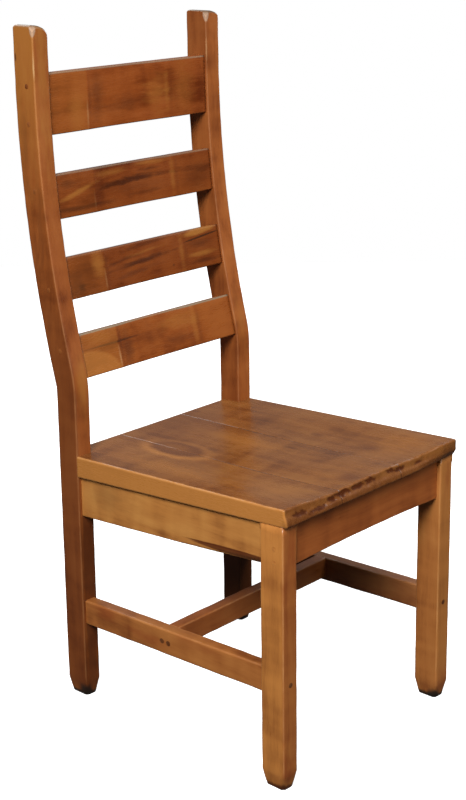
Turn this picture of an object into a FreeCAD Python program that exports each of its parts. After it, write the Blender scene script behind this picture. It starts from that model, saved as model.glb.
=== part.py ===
import FreeCAD, Part
import math
import os
import re

import Sketcher
from FreeCAD import Vector

# Ladderback dining chair in solid wood, in millimetres, +Z up, front towards -Y.
# Everything is drawn with the floor at z = 0, the middle of the chair at x = 0 and the
# front faces of the front legs at y = 0. Each piece is then moved by the same amount,
# so that the origin lies on the floor at the middle of the chair's footprint.

# Driving sizes: name, value, meaning
SIZES = [
    ("chair_width", 415, "over the outer faces of the legs, and over the seat"),
    ("leg_span", 487, "front face of a front leg to rear face of a back post's foot"),
    ("leg_width", 32, "legs and posts, side to side"),
    ("leg_depth", 45, "legs and posts below the seat, front to back"),
    ("long_edge_ease", 2, "bevel along the long edges of legs and posts"),
    ("foot_height", 28, "height of the tapered feet"),
    ("foot_inset", 5.5, "how far each side of a foot draws in"),
    ("foot_corner_cut", 8, "how far the corners of a foot draw in"),
    ("post_height", 1115.5, "top of the back posts"),
    ("knee_over_seat", 73, "where the front of a post starts to lean, over the seat's front"),
    ("knee_round", 200, "radius of the front of the knee"),
    ("upright_share", 0.8625, "where the curve is upright again, as a share of knee to top"),
    ("set_back", 65.5, "how far the curve carries the back of the chair"),
    ("post_depth", 47.7, "posts above the knee, front to back"),
    ("post_right_round", 14, "rounding of a post's right top corner, seen from the front"),
    ("post_left_round", 4, "rounding of a post's left top corner, seen from the front"),
    ("seat_height", 457, "top of the seat at its front edge"),
    ("seat_fall", 27.5, "how much lower the top is at the rear edge"),
    ("seat_overhang", 9, "seat's lower front edge before the front legs"),
    ("seat_rear_step", 8, "seat's rear edge before the posts' rear faces"),
    ("seat_front_thickness", 27.5, "at the front edge"),
    ("seat_rear_thickness", 36.4, "at the rear edge"),
    ("seat_front_slant", 6, "how far the top front edge lies behind the lower one"),
    ("seat_edge_ease", 2.5, "bevel round the edges of the seat"),
    ("left_board_share", 0.3024, "left board, as a share of the seat's width"),
    ("right_board_share", 0.3506, "right board, as a share of the seat's width"),
    ("dish_depth", 4.5, "broad hollow of the seat"),
    ("dish_side_margin", 32.5, "seat's side to the broad hollow"),
    ("dish_rear_margin", 34, "seat's rear edge to the broad hollow"),
    ("dish_share", 0.313, "its deepest place, as a share of front legs to seat's rear"),
    ("thigh_depth", 6.5, "each thigh hollow"),
    ("thigh_side_margin", 25.5, "seat's side to the thigh hollow"),
    ("thigh_parting", 4, "between the two thigh hollows"),
    ("thigh_share", 0.188, "their deepest place, as a share of front legs to seat's rear"),
    ("thigh_reach_share", 0.5, "their reach to front and rear, as the same share"),
    ("apron_height", 69, "aprons"),
    ("apron_thickness", 20, "aprons"),
    ("apron_recess", 7, "side and front aprons behind the legs' outer faces"),
    ("rear_apron_recess", 12, "rear apron before the posts' rear faces"),
    ("apron_arch", 3.5, "rise of the arch under the front apron"),
    ("stretcher_height", 43.4, "side stretchers"),
    ("stretcher_thickness", 22, "side stretchers"),
    ("stretcher_recess", 5.6, "side stretchers behind the legs' outer faces"),
    ("stretcher_top", 195.8, "side stretchers' top at the front leg"),
    ("stretcher_fall", 18, "how much lower it is at the back post"),
    ("cross_height", 37, "cross stretcher"),
    ("cross_thickness", 23, "cross stretcher"),
    ("cross_set_back", 11, "its middle behind the middle of the side stretchers"),
    ("slat_thickness", 20, "slats"),
    ("slat_recess", 4.5, "slats behind the posts' front faces"),
    ("slat_edge_ease", 2, "bevel along the slats' edges"),
    ("slat_hollow_width", 180, "hollow in the front of each slat"),
    ("slat_hollow_depth", 3.5, "its depth"),
    ("top_slat_width", 97.4, "slats' widths"),
    ("upper_slat_width", 71.8, "slats' widths"),
    ("lower_slat_width", 68.8, "slats' widths"),
    ("bottom_slat_width", 72.3, "slats' widths"),
    ("top_slat_share", 0.7886, "slats' middles, as a share of knee to top"),
    ("upper_slat_share", 0.5394, "slats' middles, as a share of knee to top"),
    ("lower_slat_share", 0.3167, "slats' middles, as a share of knee to top"),
    ("bottom_slat_share", 0.1059, "slats' middles, as a share of knee to top"),
    ("tenon_length", 16, "tenons of aprons, side stretchers and slats"),
    ("tenon_thickness", 9, "tenons of aprons and side stretchers"),
    ("slat_tenon_thickness", 12, "tenons of slats"),
    ("stub_length", 8, "tenons of the cross stretcher"),
    ("shoulder", 7, "rails' edges to their tenons' edges"),
    ("glue_gap", 0.1, "round each tenon and between glued or screwed pieces"),
    ("block_reach", 75, "corner blocks along each apron"),
    ("block_height", 32, "corner blocks"),
    ("screw_length", 42, "plugged screws and seat screws"),
    ("block_screw_length", 30, "screws of the corner blocks"),
    ("shank_radius", 2.2, "wood screws"),
    ("head_radius", 4.2, "wood screws"),
    ("head_height", 2.6, "screw heads"),
    ("plug_radius", 4.4, "wooden plugs over the screws"),
    ("plug_length", 6, "wooden plugs over the screws"),
    ("top_slat_screws", 29.5, "screws of the top slat, from its middle"),
    ("slat_screw_back", 19, "slats' screws behind the posts' front faces"),
    ("upper_slat_screw", 11, "screw over the upper slat's middle"),
    ("lower_slat_screw", -15, "screw over the lower slat's middle"),
    ("bottom_slat_screw", 12, "screw over the bottom slat's middle"),
    ("cross_screw_spacing", 14, "two screws side by side in the cross stretcher"),
    ("apron_screw_drop", 35, "upper front apron screw under the apron's top"),
    ("apron_screw_spacing", 22, "upper to lower front apron screw"),
    ("block_screw_reach", 48, "block screws from the inner corner of the aprons"),
    ("seat_screw_reach", 30, "seat screws from the inner corner of the aprons"),
    ("bore_lead", 20, "how far a bore's counterbore is cut clear outwards"),
]

doc = FreeCAD.newDocument("ladderback_chair")
sheet = doc.addObject("Spreadsheet::Sheet", "Size")
for row, (name, number, meaning) in enumerate(SIZES, start=1):
    sheet.set(f"A{row}", str(number))
    sheet.setAlias(f"A{row}", name)
doc.recompute()
NAMES = re.compile(r"\b(" + "|".join(name for name, number, meaning in SIZES) + r")\b")


def sized(text):
    """The expression that a formula of size names stands for."""
    return NAMES.sub(r"Size.\1", text)


def value(text):
    """The number that a formula of size names gives now."""
    result = sheet.evalExpression(sized(text))
    return float(getattr(result, "Value", result))


# Formulas that several pieces share
POST_FRONT = "(leg_span - leg_depth)"
LEG_MIDDLE = "(chair_width / 2 - leg_width / 2)"
INNER_FACE = "(chair_width / 2 - leg_width)"
KNEE = "(seat_height + knee_over_seat)"
UPRIGHT = f"({KNEE} + upright_share * (post_height - {KNEE}))"
BACK_RADIUS = f"((set_back ^ 2 + ({UPRIGHT} - {KNEE}) ^ 2) / (2 * set_back) - knee_round)"
ORIGIN_SHIFT = "((seat_overhang - leg_span - set_back - post_depth + leg_depth) / 2)"
SEAT_REAR = "(leg_span - seat_rear_step)"
SEAT_DEPTH = f"({SEAT_REAR} + seat_overhang)"
UNDER_SLOPE = f"((seat_fall + seat_rear_thickness - seat_front_thickness) / {SEAT_DEPTH})"
STRETCHER_SLOPE = f"(stretcher_fall / ({POST_FRONT} - leg_depth))"
SIDE_APRON_X = "(chair_width / 2 - apron_recess - apron_thickness / 2)"
STRETCHER_X = "(chair_width / 2 - stretcher_recess - stretcher_thickness / 2)"
FRONT_APRON_Y = "(apron_recess + apron_thickness / 2)"
REAR_APRON_Y = "(leg_span - rear_apron_recess - apron_thickness / 2)"
CROSS_Y = "(leg_span / 2 + cross_set_back)"


def seat_under(y):
    """Height of the seat's underside, which slopes down to the rear."""
    return f"(seat_height - seat_front_thickness - ({y} + seat_overhang) * {UNDER_SLOPE})"


def seat_top(y):
    """Height of the seat's flat top before it is hollowed."""
    return f"(seat_height - ({y} + seat_overhang) * seat_fall / {SEAT_DEPTH})"


def stretcher_line(y):
    """Height of the stretchers' top, which slopes down to the rear."""
    return f"(stretcher_top - ({y} - leg_depth) * {STRETCHER_SLOPE})"


# Drawing helpers
def move_piece(piece, x="0", y="0", z="0", axis=(1, 0, 0), angle="0"):
    """Place a piece by formulas, with the shift that brings the origin to the middle."""
    turn = f"create(<<rotation>>; create(<<vector>>; {axis[0]}; {axis[1]}; {axis[2]}); {angle})"
    spot = f"create(<<vector>>; {x}; {y} + {ORIGIN_SHIFT}; {z})"
    piece.setExpression("Placement", sized(f"create(<<placement>>; {spot}; {turn})"))


def new_sketch(body, name, plane, offset="0"):
    """A sketch on one of the body's own planes, moved along the plane's normal."""
    sketch = body.newObject("Sketcher::SketchObject", name)
    planes = [feature for feature in body.Origin.OriginFeatures if feature.Role == plane]
    sketch.AttachmentSupport = [(planes[0], "")]
    sketch.MapMode = "FlatFace"
    sketch.setExpression("AttachmentOffset.Base.z", sized(offset))
    return sketch


def fix_point(sketch, geometry, end, across, up):
    """Tie a point of the sketch to two formulas."""
    for direction, formula in (("DistanceX", across), ("DistanceY", up)):
        rule = Sketcher.Constraint(direction, geometry, end, value(formula))
        number = sketch.addConstraint(rule)
        sketch.setExpression(f"Constraints[{number}]", sized(formula))


def polygon(body, name, plane, corners, offset="0"):
    """A closed outline with straight sides, each corner given by two formulas."""
    sketch = new_sketch(body, name, plane, offset)
    points = [Vector(value(across), value(up), 0) for across, up in corners]
    count = len(points)
    for i in range(count):
        sketch.addGeometry(Part.LineSegment(points[i], points[(i + 1) % count]))
    for i in range(count):
        sketch.addConstraint(Sketcher.Constraint("Coincident", i, 2, (i + 1) % count, 1))
        fix_point(sketch, i, 1, corners[i][0], corners[i][1])
    return sketch


def pad(body, name, sketch, length):
    """Material to both sides of the sketch."""
    feature = body.newObject("PartDesign::Pad", name)
    feature.Profile = sketch
    feature.Midplane = True
    feature.setExpression("Length", sized(length))
    doc.recompute()
    return feature


def pocket(body, name, sketch, length):
    """A cut to both sides of the sketch, which must take material away."""
    before = body.Shape.Volume
    feature = body.newObject("PartDesign::Pocket", name)
    feature.Profile = sketch
    feature.Midplane = True
    feature.setExpression("Length", sized(length))
    doc.recompute()
    if feature.Shape.Volume > before - 1:
        raise RuntimeError(f"{body.Label}: {name} cuts nothing")
    return feature


def round_edges(body, name, radius, wanted):
    """Fillet the edges of the body's tip for which wanted(edge) is true."""
    tip = body.Tip
    names = [f"Edge{i + 1}" for i, edge in enumerate(tip.Shape.Edges) if wanted(edge)]
    feature = body.newObject("PartDesign::Fillet", name)
    feature.Base = (tip, names)
    feature.setExpression("Radius", sized(radius))
    doc.recompute()
    return feature


def ease_edges(body, name, size, wanted):
    """Bevel the edges of the body's tip for which wanted(edge) is true."""
    tip = body.Tip
    names = [f"Edge{i + 1}" for i, edge in enumerate(tip.Shape.Edges) if wanted(edge)]
    feature = body.newObject("PartDesign::Chamfer", name)
    feature.Base = (tip, names)
    feature.setExpression("Size", sized(size))
    doc.recompute()
    return feature


def runs_along(edge, axis):
    """Whether an edge is straight along x, y or z (0, 1 or 2)."""
    chord = edge.Vertexes[-1].Point - edge.Vertexes[0].Point
    return abs(abs(chord[axis]) - edge.Length) < 1e-4


def band(front, rear, top, bottom):
    """Corners of a rail's outline: two upright ends under and over two sloping lines."""
    return [(rear, bottom(rear)), (rear, top(rear)), (front, top(front)), (front, bottom(front))]


def lowered(line, drop):
    """A line that runs a fixed distance under another."""
    return lambda y: f"({line(y)} - ({drop}))"


# Screws, plugs and the bores that hold them: drawn along +Z from the timber's face.
# They are small and many, so their round parts have few flat sides.
ROUND_SIDES = 10


def add_round(body, name, radius, low, high):
    """A round stretch of a screw, plug or bore between two depths."""
    corners = []
    for i in range(ROUND_SIDES):
        turn = 2 * math.pi * i / ROUND_SIDES
        corners.append((f"{radius} * {math.cos(turn):.6f}", f"{radius} * {math.sin(turn):.6f}"))
    outline = polygon(body, f"{name}_outline", "XY_Plane", corners, f"({low} + {high}) / 2")
    pad(body, name, outline, f"{high} - {low}")


def new_screw(name, length):
    """A screw whose head lies one plug's length under the timber's face."""
    body = doc.addObject("PartDesign::Body", name)
    tip = f"(plug_length + {length})"
    add_round(body, f"{name}_head", "head_radius", "plug_length", "(plug_length + head_height)")
    add_round(body, f"{name}_shank", "shank_radius", "plug_length", tip)
    return body


def new_bore(name, length):
    """The room that a screw and its plug or counterbore take up."""
    body = doc.addObject("PartDesign::Body", name)
    floor = "(plug_length + head_height + glue_gap)"
    tip = f"(plug_length + {length} + glue_gap)"
    add_round(body, f"{name}_counterbore", "(plug_radius + glue_gap)", "(-bore_lead)", floor)
    add_round(body, f"{name}_pilot", "(shank_radius + glue_gap)", "(-bore_lead)", tip)
    return body


long_screw = new_screw("long_screw", "screw_length")
long_bore = new_bore("long_bore", "screw_length")
short_screw = new_screw("short_screw", "block_screw_length")
short_bore = new_bore("short_bore", "block_screw_length")
plug = doc.addObject("PartDesign::Body", "plug")
add_round(plug, "plug_round", "plug_radius", "0", "plug_length")

# Ways a screw can point: axis and angle that turn +Z into the direction it is driven
DRIVEN = {
    "+x": ((0, 1, 0), "90"),
    "-x": ((0, 1, 0), "-90"),
    "+y": ((1, 0, 0), "-90"),
    "-y": ((1, 0, 0), "90"),
    "+z": ((1, 0, 0), "0"),
}


def copies(master, name, spots):
    """Linked copies of a screw, plug or bore, one for each spot."""
    links = []
    for i, (x, y, z, way) in enumerate(spots):
        link = doc.addObject("App::Link", f"{name}_{i + 1}")
        link.LinkedObject = master
        axis, angle = DRIVEN[way]
        move_piece(link, x, y, z, axis, angle)
        links.append(link)
    return links


pieces = []


def group(master, name, spots):
    """A node of identical fasteners."""
    node = doc.addObject("Part::Compound", name)
    node.Links = copies(master, f"{name}_copy", spots)
    pieces.append(node)


def drilled(body, name, long_spots, short_spots=()):
    """A node: the body less the bores of the screws that pass through it."""
    bores = copies(long_bore, f"{name}_long_bore", long_spots)
    bores += copies(short_bore, f"{name}_short_bore", short_spots)
    node = doc.addObject("Part::Cut", name)
    tools = doc.addObject("Part::Compound", f"{name}_bores")
    tools.Links = bores
    node.Base = body
    node.Tool = tools
    pieces.append(node)


# Where the screws go. Left and right are as seen from before the chair.
SIDES = (("left", "-", "+x"), ("right", "", "-x"))
SLATS = ("top", "upper", "lower", "bottom")
SLAT_SCREWS = {
    "top": ("top_slat_screws", "-top_slat_screws"),
    "upper": ("upper_slat_screw",),
    "lower": ("lower_slat_screw",),
    "bottom": ("bottom_slat_screw",),
}


def slat_height(slat):
    """The middle of a slat over the floor."""
    return f"({KNEE} + {slat}_slat_share * (post_height - {KNEE}))"


def lean_at(height):
    """How far the front of the posts leans back at a height."""
    return f"asin(({UPRIGHT} - {height}) / {BACK_RADIUS})"


def post_front_at(height):
    """The front of the posts at a height above the knee."""
    run = f"sqrt({BACK_RADIUS} ^ 2 - ({UPRIGHT} - {height}) ^ 2)"
    return f"({POST_FRONT} + set_back - {BACK_RADIUS} + {run})"


def slat_spots(slat, sign, way):
    """Screws through one post into one slat."""
    spots = []
    for rise in SLAT_SCREWS[slat]:
        height = f"({slat_height(slat)} + {rise})"
        back = f"({post_front_at(height)} + slat_screw_back)"
        spots.append((f"{sign}chair_width / 2", back, height, way))
    return spots


def front_stretcher_spot(sign):
    """Screw through a front leg into the side stretcher."""
    middle = f"({stretcher_line('leg_depth / 2')} - stretcher_height / 2)"
    return (f"{sign}{STRETCHER_X}", "0", middle, "+y")


def rear_stretcher_spot(sign):
    """Screw through a back post into the side stretcher."""
    middle = f"({stretcher_line(POST_FRONT)} - stretcher_height / 2)"
    return (f"{sign}{STRETCHER_X}", "leg_span", middle, "-y")


def cross_spots(sign, way):
    """Two screws through a side stretcher into the cross stretcher."""
    face = f"{sign}(chair_width / 2 - stretcher_recess)"
    middle = f"({stretcher_line(CROSS_Y)} - stretcher_height / 2)"
    places = [f"({CROSS_Y} {step} cross_screw_spacing / 2)" for step in "-+"]
    return [(face, place, middle, way) for place in places]


def apron_spots(sign, way):
    """Two screws through a front leg into the front apron."""
    spots = []
    for drop in ("apron_screw_drop", "(apron_screw_drop + apron_screw_spacing)"):
        height = f"({seat_under(FRONT_APRON_Y)} - {drop})"
        spots.append((f"{sign}chair_width / 2", FRONT_APRON_Y, height, way))
    return spots


# Corner blocks fill the inner corners of the aprons
ENDS = ("front", "rear")
CORNER_X = "(chair_width / 2 - apron_recess - apron_thickness)"
CORNER_Y = {
    "front": "(apron_recess + apron_thickness)",
    "rear": "(leg_span - rear_apron_recess - apron_thickness)",
}
INTO = {"front": "+", "rear": "-"}
OUT = {"front": "-y", "rear": "+y"}


def side_block_spot(end, sign, way):
    """Screw through a corner block into the side apron, driven from the slanted face."""
    outward = "-x" if way == "+x" else "+x"
    x = f"{sign}({CORNER_X} - block_reach + block_screw_reach)"
    y = f"({CORNER_Y[end]} {INTO[end]} block_screw_reach)"
    return (x, y, f"({seat_under(y)} - block_height / 2)", outward)


def cross_block_spot(end, sign):
    """Screw through a corner block into the front or rear apron."""
    x = f"{sign}({CORNER_X} - block_screw_reach)"
    y = f"({CORNER_Y[end]} {INTO[end]} (block_reach - block_screw_reach))"
    return (x, y, f"({seat_under(y)} - block_height / 2)", OUT[end])


def seat_spot(end, sign):
    """Screw up through a corner block into the seat."""
    x = f"{sign}({CORNER_X} - seat_screw_reach)"
    y = f"({CORNER_Y[end]} {INTO[end]} seat_screw_reach)"
    return (x, y, f"({seat_under(y)} - block_height)", "+z")


# Back posts: upright below the seat, then a knee and one long curve that ends upright
def post_outline(body):
    """Side view of a post, with its straights and arcs tangent as they are sawn."""
    sketch = new_sketch(body, f"{body.Name}_side", "YZ_Plane")
    front = value(POST_FRONT)
    knee = value(KNEE)
    knee_round = value("knee_round")
    upright = value(UPRIGHT)
    back = value("set_back")
    depth = value("post_depth")
    foot_rear = value("leg_span")
    top = value("post_height")
    radius = value(BACK_RADIUS)
    centre = Vector(front + back - radius, upright, 0)
    lean = math.asin((upright - knee) / (radius + knee_round))
    rear_lean = math.acos((foot_rear - centre.x) / (radius + depth))
    leave_knee = Vector(centre.x + radius * math.cos(lean), upright - radius * math.sin(lean), 0)
    meet_rear = Vector(foot_rear, upright - (radius + depth) * math.sin(rear_lean), 0)
    knee_circle = Part.Circle(Vector(front + knee_round, knee, 0), Vector(0, 0, 1), knee_round)
    front_circle = Part.Circle(centre, Vector(0, 0, 1), radius)
    rear_circle = Part.Circle(centre, Vector(0, 0, 1), radius + depth)
    sketch.addGeometry([
        Part.LineSegment(Vector(front, 0, 0), Vector(front, knee, 0)),
        Part.ArcOfCircle(knee_circle, math.pi - lean, math.pi),
        Part.ArcOfCircle(front_circle, -lean, 0),
        Part.LineSegment(Vector(front + back, upright, 0), Vector(front + back, top, 0)),
        Part.LineSegment(Vector(front + back, top, 0), Vector(front + back + depth, top, 0)),
        Part.LineSegment(
            Vector(front + back + depth, top, 0), Vector(front + back + depth, upright, 0)
        ),
        Part.ArcOfCircle(rear_circle, -rear_lean, 0),
        Part.LineSegment(meet_rear, Vector(foot_rear, 0, 0)),
        Part.LineSegment(Vector(foot_rear, 0, 0), Vector(front, 0, 0)),
    ])
    rules = [
        ("Tangent", 0, 2, 1, 2),
        ("Tangent", 1, 1, 2, 1),
        ("Tangent", 2, 2, 3, 1),
        ("Coincident", 3, 2, 4, 1),
        ("Coincident", 4, 2, 5, 1),
        ("Tangent", 5, 2, 6, 2),
        ("Coincident", 6, 1, 7, 1),
        ("Coincident", 7, 2, 8, 1),
        ("Coincident", 8, 2, 0, 1),
        ("Coincident", 2, 3, 6, 3),
        ("Vertical", 0),
        ("Vertical", 3),
        ("Vertical", 5),
        ("Vertical", 7),
        ("Horizontal", 4),
        ("Horizontal", 8),
    ]
    for rule in rules:
        sketch.addConstraint(Sketcher.Constraint(*rule))
    fix_point(sketch, 0, 1, POST_FRONT, "0")
    fix_point(sketch, 3, 1, f"{POST_FRONT} + set_back", UPRIGHT)
    sizes = [
        ("DistanceY", (0, 2), KNEE),
        ("Radius", (1,), "knee_round"),
        ("DistanceY", (3, 2), "post_height"),
        ("Distance", (4,), "post_depth"),
        ("DistanceX", (8, 1), "leg_span"),
    ]
    for kind, places, formula in sizes:
        number = sketch.addConstraint(Sketcher.Constraint(kind, *places, value(formula)))
        sketch.setExpression(f"Constraints[{number}]", sized(formula))
    doc.recompute()
    return sketch


def point_foot(body, middle_y):
    """Draw in the four sides of a foot, then its corners by a cone."""
    half = "leg_width / 2"
    beyond = "leg_width / 2 + 1"
    for step, name in (("-1 *", "outer"), ("1 *", "inner")):
        wedge = [
            (f"{step} ({half} - foot_inset)", "0"),
            (f"{step} ({half})", "foot_height"),
            (f"{step} ({beyond})", "foot_height"),
            (f"{step} ({beyond})", "-1"),
            (f"{step} ({half} - foot_inset)", "-1"),
        ]
        sketch = polygon(body, f"{body.Name}_foot_{name}", "XZ_Plane", wedge, f"-({middle_y})")
        pocket(body, f"{body.Name}_foot_{name}_cut", sketch, "2 * leg_depth")
    half = "leg_depth / 2"
    beyond = "leg_depth / 2 + 1"
    for step, name in (("-1 *", "front"), ("1 *", "rear")):
        wedge = [
            (f"{middle_y} + {step} ({half} - foot_inset)", "0"),
            (f"{middle_y} + {step} ({half})", "foot_height"),
            (f"{middle_y} + {step} ({beyond})", "foot_height"),
            (f"{middle_y} + {step} ({beyond})", "-1"),
            (f"{middle_y} + {step} ({half} - foot_inset)", "-1"),
        ]
        sketch = polygon(body, f"{body.Name}_foot_{name}", "YZ_Plane", wedge)
        pocket(body, f"{body.Name}_foot_{name}_cut", sketch, "2 * leg_width")
    corner = "sqrt((leg_width / 2) ^ 2 + (leg_depth / 2) ^ 2)"
    cone = [
        (f"{corner} - foot_corner_cut", "0"),
        (corner, "foot_height + 2"),
        (f"{corner} + 1", "foot_height + 2"),
        (f"{corner} + 1", "-1"),
        (f"{corner} - foot_corner_cut", "-1"),
    ]
    sketch = polygon(body, f"{body.Name}_foot_corners", "XZ_Plane", cone, f"-({middle_y})")
    feature = body.newObject("PartDesign::Groove", f"{body.Name}_foot_corner_cut")
    feature.Profile = sketch
    feature.ReferenceAxis = (sketch, ["V_Axis"])
    feature.Angle = 360
    doc.recompute()


def mortise(body, name, outline, x, length):
    """A mortise for a tenon whose outline is given in side view."""
    sketch = polygon(body, f"{body.Name}_{name}", "YZ_Plane", outline, x)
    pocket(body, f"{body.Name}_{name}_mortise", sketch, length)


def across_tenon(sign):
    """Middle and length of a mortise that opens at a leg's inner face."""
    middle = f"(-({sign}1) * (leg_width / 2 - (tenon_length + glue_gap) / 2))"
    return middle, "tenon_length + glue_gap"


# Tenon outlines in side view: a grown outline is the mortise that takes the tenon
def side_tenons(line, rail_height, grow="0"):
    """Tenons at both ends of a rail that runs front to back."""
    front = f"(leg_depth - tenon_length - {grow})"
    rear = f"({POST_FRONT} + tenon_length + {grow})"
    top = lowered(line, f"shoulder - {grow}")
    bottom = lowered(line, f"{rail_height} - shoulder + {grow}")
    return band(front, rear, top, bottom)


def cross_tenons(line, rail_height, middle, thickness, grow="0"):
    """Tenons at both ends of a rail that runs side to side."""
    front = f"({middle} - {thickness} / 2 - {grow})"
    rear = f"({middle} + {thickness} / 2 + {grow})"
    top = lowered(line, f"shoulder - {grow}")
    bottom = lowered(line, f"{rail_height} - shoulder + {grow}")
    return band(front, rear, top, bottom)


def slat_tenon(slat, grow="0"):
    """A slat's tenon in side view, leaning with the posts."""
    height = slat_height(slat)
    lean = lean_at(height)
    front = f"(slat_recess + slat_thickness / 2 - slat_tenon_thickness / 2 - {grow})"
    rear = f"(slat_recess + slat_thickness / 2 + slat_tenon_thickness / 2 + {grow})"
    half = f"({slat}_slat_width / 2 - shoulder + {grow})"
    corners = []
    for back, rise in ((rear, f"-{half}"), (rear, half), (front, half), (front, f"-{half}")):
        across = f"{post_front_at(height)} + {back} * cos({lean}) + {rise} * sin({lean})"
        up = f"{height} - {back} * sin({lean}) + {rise} * cos({lean})"
        corners.append((across, up))
    return corners


for side, sign, way in SIDES:
    name = f"back_post_{side}"
    post = doc.addObject("PartDesign::Body", f"{name}_timber")
    pad(post, f"{name}_sawn", post_outline(post), "leg_width")
    top = value("post_height")

    def right_top(edge):
        """The right top edge, seen from the front."""
        middle = edge.CenterOfMass
        return runs_along(edge, 1) and middle.z > top - 1 and middle.x > 0

    def left_top(edge):
        """The left top edge, seen from the front."""
        middle = edge.CenterOfMass
        return runs_along(edge, 1) and middle.z > top - 1 and middle.x < 0

    def long_edge(edge):
        """The edges round the front and rear faces, over the sole."""
        low = edge.CenterOfMass.z < 1
        seam = runs_along(edge, 0) and edge.CenterOfMass.z < top - 1
        return not low and not seam and not runs_along(edge, 1)

    round_edges(post, f"{name}_right_top", "post_right_round", right_top)
    round_edges(post, f"{name}_left_top", "post_left_round", left_top)
    ease_edges(post, f"{name}_long_edges", "long_edge_ease", long_edge)
    point_foot(post, f"({POST_FRONT} + leg_depth / 2)")
    offset, length = across_tenon(sign)
    for slat in SLATS:
        mortise(post, f"{slat}_slat", slat_tenon(slat, "glue_gap"), offset, length)
    rear_apron = cross_tenons(
        seat_under, "apron_height", REAR_APRON_Y, "tenon_thickness", "glue_gap"
    )
    mortise(post, "rear_apron", rear_apron, offset, length)
    local = f"{sign}({SIDE_APRON_X} - {LEG_MIDDLE})"
    side_apron = side_tenons(seat_under, "apron_height", "glue_gap")
    mortise(post, "side_apron", side_apron, local, "tenon_thickness + 2 * glue_gap")
    local = f"{sign}({STRETCHER_X} - {LEG_MIDDLE})"
    stretcher = side_tenons(stretcher_line, "stretcher_height", "glue_gap")
    mortise(post, "stretcher", stretcher, local, "tenon_thickness + 2 * glue_gap")
    move_piece(post, f"{sign}{LEG_MIDDLE}")
    spots = [spot for slat in SLATS for spot in slat_spots(slat, sign, way)]
    drilled(post, name, spots + [rear_stretcher_spot(sign)])

# Front legs: straight, with their tops cut to the slope of the seat
for side, sign, way in SIDES:
    name = f"front_leg_{side}"
    leg = doc.addObject("PartDesign::Body", f"{name}_timber")
    outline = band("0", "leg_depth", seat_under, lambda y: "0")
    pad(leg, f"{name}_sawn", polygon(leg, f"{name}_side", "YZ_Plane", outline), "leg_width")
    ease_edges(leg, f"{name}_long_edges", "long_edge_ease", lambda edge: runs_along(edge, 2))
    point_foot(leg, "(leg_depth / 2)")
    offset, length = across_tenon(sign)
    front_apron = cross_tenons(
        seat_under, "apron_height", FRONT_APRON_Y, "tenon_thickness", "glue_gap"
    )
    mortise(leg, "front_apron", front_apron, offset, length)
    local = f"{sign}({SIDE_APRON_X} - {LEG_MIDDLE})"
    side_apron = side_tenons(seat_under, "apron_height", "glue_gap")
    mortise(leg, "side_apron", side_apron, local, "tenon_thickness + 2 * glue_gap")
    local = f"{sign}({STRETCHER_X} - {LEG_MIDDLE})"
    stretcher = side_tenons(stretcher_line, "stretcher_height", "glue_gap")
    mortise(leg, "stretcher", stretcher, local, "tenon_thickness + 2 * glue_gap")
    move_piece(leg, f"{sign}{LEG_MIDDLE}")
    drilled(leg, name, apron_spots(sign, way) + [front_stretcher_spot(sign)])

# Slats: straight boards hollowed in front, drawn upright and then leant with the posts
for slat in SLATS:
    name = f"slat_{slat}"
    board = doc.addObject("PartDesign::Body", f"{name}_timber")
    half = f"{slat}_slat_width / 2"
    face = [
        ("slat_recess + slat_thickness", f"-{half}"),
        ("slat_recess + slat_thickness", half),
        ("slat_recess", half),
        ("slat_recess", f"-{half}"),
    ]
    outline = polygon(board, f"{name}_section", "YZ_Plane", face)
    pad(board, f"{name}_sawn", outline, f"2 * ({INNER_FACE} - glue_gap)")
    ease_edges(board, f"{name}_edges", "slat_edge_ease", lambda edge: runs_along(edge, 0))

    # The hollow is a shallow segment of a large upright cylinder
    bow = "((slat_hollow_width ^ 2 / 4 + slat_hollow_depth ^ 2) / (2 * slat_hollow_depth))"
    hollow = new_sketch(board, f"{name}_hollow", "XY_Plane")
    centre = Vector(0, value(f"slat_recess + slat_hollow_depth - {bow}"), 0)
    hollow.addGeometry(Part.Circle(centre, Vector(0, 0, 1), value(bow)))
    hollow.addConstraint(Sketcher.Constraint("PointOnObject", 0, 3, -2))
    number = hollow.addConstraint(Sketcher.Constraint("Radius", 0, value(bow)))
    hollow.setExpression(f"Constraints[{number}]", sized(bow))
    middle = f"slat_recess + slat_hollow_depth - {bow}"
    number = hollow.addConstraint(Sketcher.Constraint("DistanceY", 0, 3, value(middle)))
    hollow.setExpression(f"Constraints[{number}]", sized(middle))
    pocket(board, f"{name}_hollowed", hollow, f"2 * {slat}_slat_width")

    tenon_half = f"({slat}_slat_width / 2 - shoulder)"
    tenon_front = "(slat_recess + (slat_thickness - slat_tenon_thickness) / 2)"
    tenon = [
        (f"{tenon_front} + slat_tenon_thickness", f"-{tenon_half}"),
        (f"{tenon_front} + slat_tenon_thickness", tenon_half),
        (tenon_front, tenon_half),
        (tenon_front, f"-{tenon_half}"),
    ]
    for end in ("-1", "1"):
        outline = polygon(
            board,
            f"{name}_tenon_{'left' if end == '-1' else 'right'}",
            "YZ_Plane",
            tenon,
            f"{end} * ({INNER_FACE} + tenon_length / 2 - glue_gap)",
        )
        pad(board, f"{outline.Name}_pad", outline, "tenon_length")
    height = slat_height(slat)
    move_piece(board, "0", post_front_at(height), height, (1, 0, 0), f"-{lean_at(height)}")
    spots = [spot for side, sign, way in SIDES for spot in slat_spots(slat, sign, way)]
    drilled(board, name, spots)

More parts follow.
